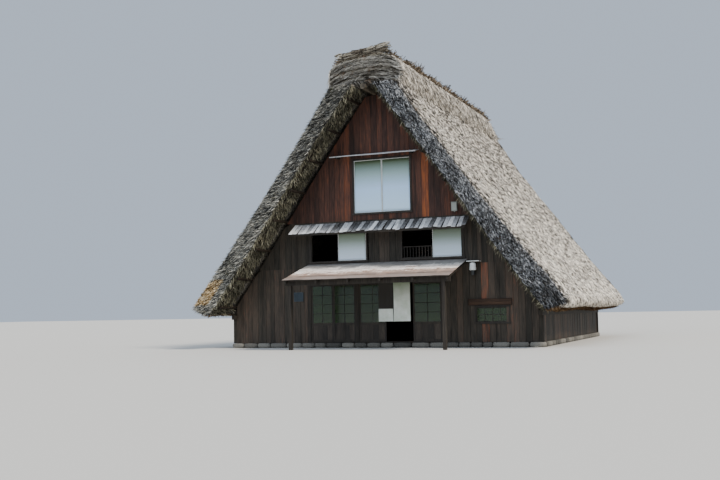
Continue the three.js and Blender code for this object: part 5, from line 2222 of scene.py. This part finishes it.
@dataclass
class DoorCurtain(Piece):
    """One half of the split cotton curtain, hung in soft folds from its rod."""

    finish: Finish
    folds: float = 3.0
    dyed: float = 0.0
    depth: float = 0.013
    thick: float = 0.002
    waist: float = 0.024
    hem: float = 0.02
    rows: int = 56
    columns: int = 48
    loop_count: int = 5
    loop_half: float = 0.02
    loop_foot: float = 1.16
    tape: float = 0.0015

    def build(self) -> None:
        """Make the cloth and its loops."""
        rows, columns = self.rows, self.columns
        face, thick = self.cloth()
        made = mesh_object(self.node + "_cloth", *slab(face, vectors(0, thick, 0)), self.finish, smooth=True)
        middles = (face[rows // 2], face[:, columns // 2])
        width, length = (float(np.linalg.norm(np.diff(line, axis=0), axis=1).sum()) for line in middles)
        number = np.array([loop.vertex_index for loop in made.data.loops]) % (rows * columns)
        own = (number % columns / (columns - 1) * width, (1 - number // columns / (rows - 1)) * length)
        uv = made.data.uv_layers.new(name="cloth")
        uv.data.foreach_set("uv", np.stack(own, axis=1).astype(np.float32).ravel())
        share = np.tile(np.repeat(np.linspace(0, 1, rows), columns), 2)
        store(made, "tone", (share < self.dyed).astype(float))
        finished(made, "linen", [self.node])
        self.loops()

    def cloth(self) -> tuple[np.ndarray, np.ndarray]:
        """Hang the cloth in folds that deepen towards its foot, its hems turned double.

        Returns:
            Points of its front face, shape (rows, columns, 3), and its thickness at each.
        """
        low, high, rows, columns = self.low, self.high, self.rows, self.columns
        u = np.linspace(0, 1, columns)
        v = np.linspace(0, 1, rows)[:, None]
        waist = 1 - self.waist * np.sin(v * math.pi)
        phase = 2 * math.pi * self.folds * u + 0.5 * np.sin(3 * v + self.seed)
        fold = (0.125 + 0.375 * v) * self.depth * np.sin(phase)
        face = vectors(sum(self.xs) / 2 + (u - 0.5) * (high.x - low.x) * waist, sum(self.ys) / 2 + fold, 0)
        flat = face.reshape(-1, 3)
        face[..., 1] += wander(flat, (0.004, 0.25, self.seed)).reshape(rows, columns) * v
        foot = wander(flat[-columns:], (0.006, 0.2, self.seed + 1))
        top = high.z - 0.012
        face[..., 2] = top + (low.z - top + foot) * v
        hem = (v > 0.972) | (np.minimum(v, np.minimum(u, 1 - u)) < self.hem)
        thick = np.where(hem, self.thick * 2.2, self.thick)
        face[..., 1] -= thick / 2
        return face, thick

    def loops(self) -> None:
        """Sew loops along the top that go over the rod."""
        rod_low, rod_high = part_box("curtain_rod")
        y = sum(self.ys) / 2
        z = (rod_high.z + rod_low.z) / 2
        radius = (rod_high.z - rod_low.z) / 2 + 0.003
        foot = self.low.z + self.loop_foot
        angles = np.linspace(-0.35 * math.pi, 1.35 * math.pi, 12)
        ring = [(y + radius * math.cos(a), z + radius * math.sin(a)) for a in angles]
        line = np.array([(y + 0.003, foot), *ring, (y - 0.003, foot)])
        for x in np.linspace(self.low.x + 0.03, self.high.x - 0.03, self.loop_count):
            for near, far in itertools.pairwise(line):
                out = np.array([far[1] - near[1], near[0] - far[0]])
                out *= self.tape / np.linalg.norm(out)
                xs = (x - self.loop_half, x + self.loop_half)
                self.maker.prism([near + out, far + out, far, near], 0, xs, 0.0)
        self.maker.build(self.node + "_loops", COTTON_TRIM, "linen")


# The whole house


STOREY_WINDOWS = ((-2.22, -0.37), (0.81, 2.69))
STOREY_WINDOW_Z = (2.66, 3.51)
ATTIC_WINDOW = (-0.72, 1.10)
ATTIC_WINDOW_Z = (4.10, 5.72)
SIDE_LIGHT = (3.04, 4.01)
SIDE_LIGHT_Z = (0.72, 1.16)
UNDER_ROOF = 0.141


def build_walls(section: RoofSection) -> None:
    """Board the gables and the side walls, lay the stones and the floors.

    Args:
        section: The roof's cross-section.
    """
    storey = [(xs, STOREY_WINDOW_Z) for xs in STOREY_WINDOWS]
    attic = ((ATTIC_WINDOW, ATTIC_WINDOW_Z),)
    light = ((SIDE_LIGHT, SIDE_LIGHT_Z),)
    # Boards with raised tones: the orange ones beside the attic window are their own colour. Those over it,
    # from x -0.3 to 0.9, are raised as painted light against the verge's shade at the gable's top.
    orange_and_lit = (
        (1.58, 0.88), (-0.95, 0.7), (-1.3, 0.64), (2.2, 0.64),
        (-0.3, 0.6), (0.1, 0.65), (0.5, 0.6), (0.9, 0.62),
    )
    slope = section.inside(UNDER_ROOF)
    dark = (DARK_CEDAR, "dark_board", slope)
    red = (GABLE_CEDAR, "cedar_board", slope)
    for wall in (
        BoardedWall("front_wall_left", 201, *dark, tone=(0.4, 0.78)),
        BoardedWall("front_wall_right", 202, *dark, openings=light, bright=((3.22, 0.85),)),
        # The storey boards' tones are set low: painted shade under the upper pent.
        BoardedWall("front_storey_wall", 203, *dark, openings=storey, tone=(0.2, 0.56)),
        BoardedWall("front_gable_wall", 204, *red, openings=attic, bright=orange_and_lit, tone=(0.32, 0.6)),
        BoardedWall("rear_wall", 205, *dark, facing=1),
        BoardedWall("rear_storey_wall", 206, *dark, facing=1, openings=storey),
        BoardedWall("rear_gable_wall", 207, *red, facing=1, openings=attic, tone=(0.32, 0.6)),
        SideWall("right_wall", 211, 1),
        SideWall("left_wall", 212, -1),
        StoneRing("foundation", 81),
        PlankFloor("ground_floor", 91, sleepers=9, width=0.3),
        PlankFloor("second_floor", 91),
        PlankFloor("third_floor", 91),
    ):
        wall.build()


def build_openings(slats: NodeTree, wall_y: float) -> None:
    """Frame the openings and fill them with doors, panels and bars.

    Args:
        slats: The tree made by slat_tree.
        wall_y: Front face of the wall.
    """
    rear_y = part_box("rear_gable_wall")[1].y
    for label, face, facing in (("front", wall_y, -1), ("rear", rear_y, 1)):
        for side, xs in zip(("left", "right"), STOREY_WINDOWS):
            WindowFrame(f"{label}_{side}_window_frame", xs, STOREY_WINDOW_Z, face, facing).build()
        WindowFrame(f"{label}_attic_window_frame", ATTIC_WINDOW, ATTIC_WINDOW_Z, face, facing).build()
    WindowFrame("side_light_frame", SIDE_LIGHT, SIDE_LIGHT_Z, wall_y, jamb=0.04).build()
    for number in (1, 2, 3, 4):
        LatticeDoor(f"glazed_panel_{number}", 101).build()
    LatticeDoor("entrance_door", 101, body=DOOR).build()
    LatticeDoor("side_light", 101, columns=4, rows=2, foot=0.0, stile=0.03, rail=0.03).build()
    for node, seed, finish, facing in (
        ("storey_panel_left", 221, STOREY_PAPER, -1), ("storey_panel_right", 222, STOREY_PAPER, -1),
        ("attic_panel_left", 231, ATTIC_PAPER, -1), ("attic_panel_right", 232, ATTIC_PAPER, -1),
        ("rear_panel_left", 241, STOREY_PAPER, 1), ("rear_panel_right", 242, STOREY_PAPER, 1),
        ("rear_panel_attic", 251, ATTIC_PAPER, 1),
    ):
        PaperPanel(node, seed, finish, facing).build()
    build_window_bars(slats, wall_y)


def build_window_bars(slats: NodeTree, wall_y: float) -> None:
    """Stand bars between two rails in the open half of the right storey window.

    Args:
        slats: The tree made by slat_tree.
        wall_y: Front face of the wall.
    """
    left, foot, count = STOREY_WINDOWS[1][0], STOREY_WINDOW_Z[0], 10
    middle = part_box("storey_panel_right")[0].x
    pitch = (middle - left) / count
    start = (left + pitch / 2, wall_y + 0.045, foot + 0.17)
    size = (0.022, 0.022, 0.34)
    SlatRow("window_bars", JOINERY, "frame_timber", count, start, (pitch, 0, 0), size).build(slats)
    maker = MeshMaker(261)
    for z in (foot + 0.012, foot + 0.34):
        maker.box((left, middle), (wall_y + 0.032, wall_y + 0.058), (z - 0.012, z + 0.014), 0.5)
    maker.build("window_bar_rails", JOINERY, "frame_timber", bevel=0.002)


def dress_kept_nodes() -> None:
    """Give the timber solids that stay their finishes."""
    for names, finish in KEPT_FINISHES:
        for name in names:
            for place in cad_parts[name].material_slots:
                place.material = finish.material()
            LOG.info("%s: dressed as %s", name, finish.name)


def write_sizes() -> None:
    """Work out the box of the solids and of the finished model."""
    pairs = {"cad": CAD_BOUNDS, "visual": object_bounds()}
    boxes = {name: [list(corner) for corner in pair] for name, pair in pairs.items()}


def main() -> None:
    """Build every sub-assembly in order."""
    logging.basicConfig(level=logging.INFO, format="%(name)s %(message)s")
    wall_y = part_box("front_gable_wall")[0].y
    Studio(wall_y).build()
    section = RoofSection("thatch_right")
    stalks = stalk_tree()
    slats = slat_tree()
    for side, density in ((1, 425.0), (-1, 320.0)):
        ThatchSlope(section, side, stalks, density).build()
    cap = RidgeCap(stalks)
    cap.build()
    StrawBundles(cap, wall_y).build()
    build_walls(section)
    build_openings(slats, wall_y)
    SheetPent("lower_pent_roof", 111).build()
    BoardPent("upper_pent_roof", 121).build()
    WindowHood("window_hood", 134).build()
    WallLamp("wall_lamp", 141).build()
    SignBoard("sign_board", 151).build()
    MeterBox("gable_box", 152).build()
    Vent().build(slats, wall_y)
    DoorCurtain("curtain_left", 161, SPLIT_COTTON, folds=2.5, dyed=0.69).build()
    DoorCurtain("curtain_right", 165, COTTON).build()
    dress_kept_nodes()
    write_sizes()


if __name__ == "__main__":
    main()
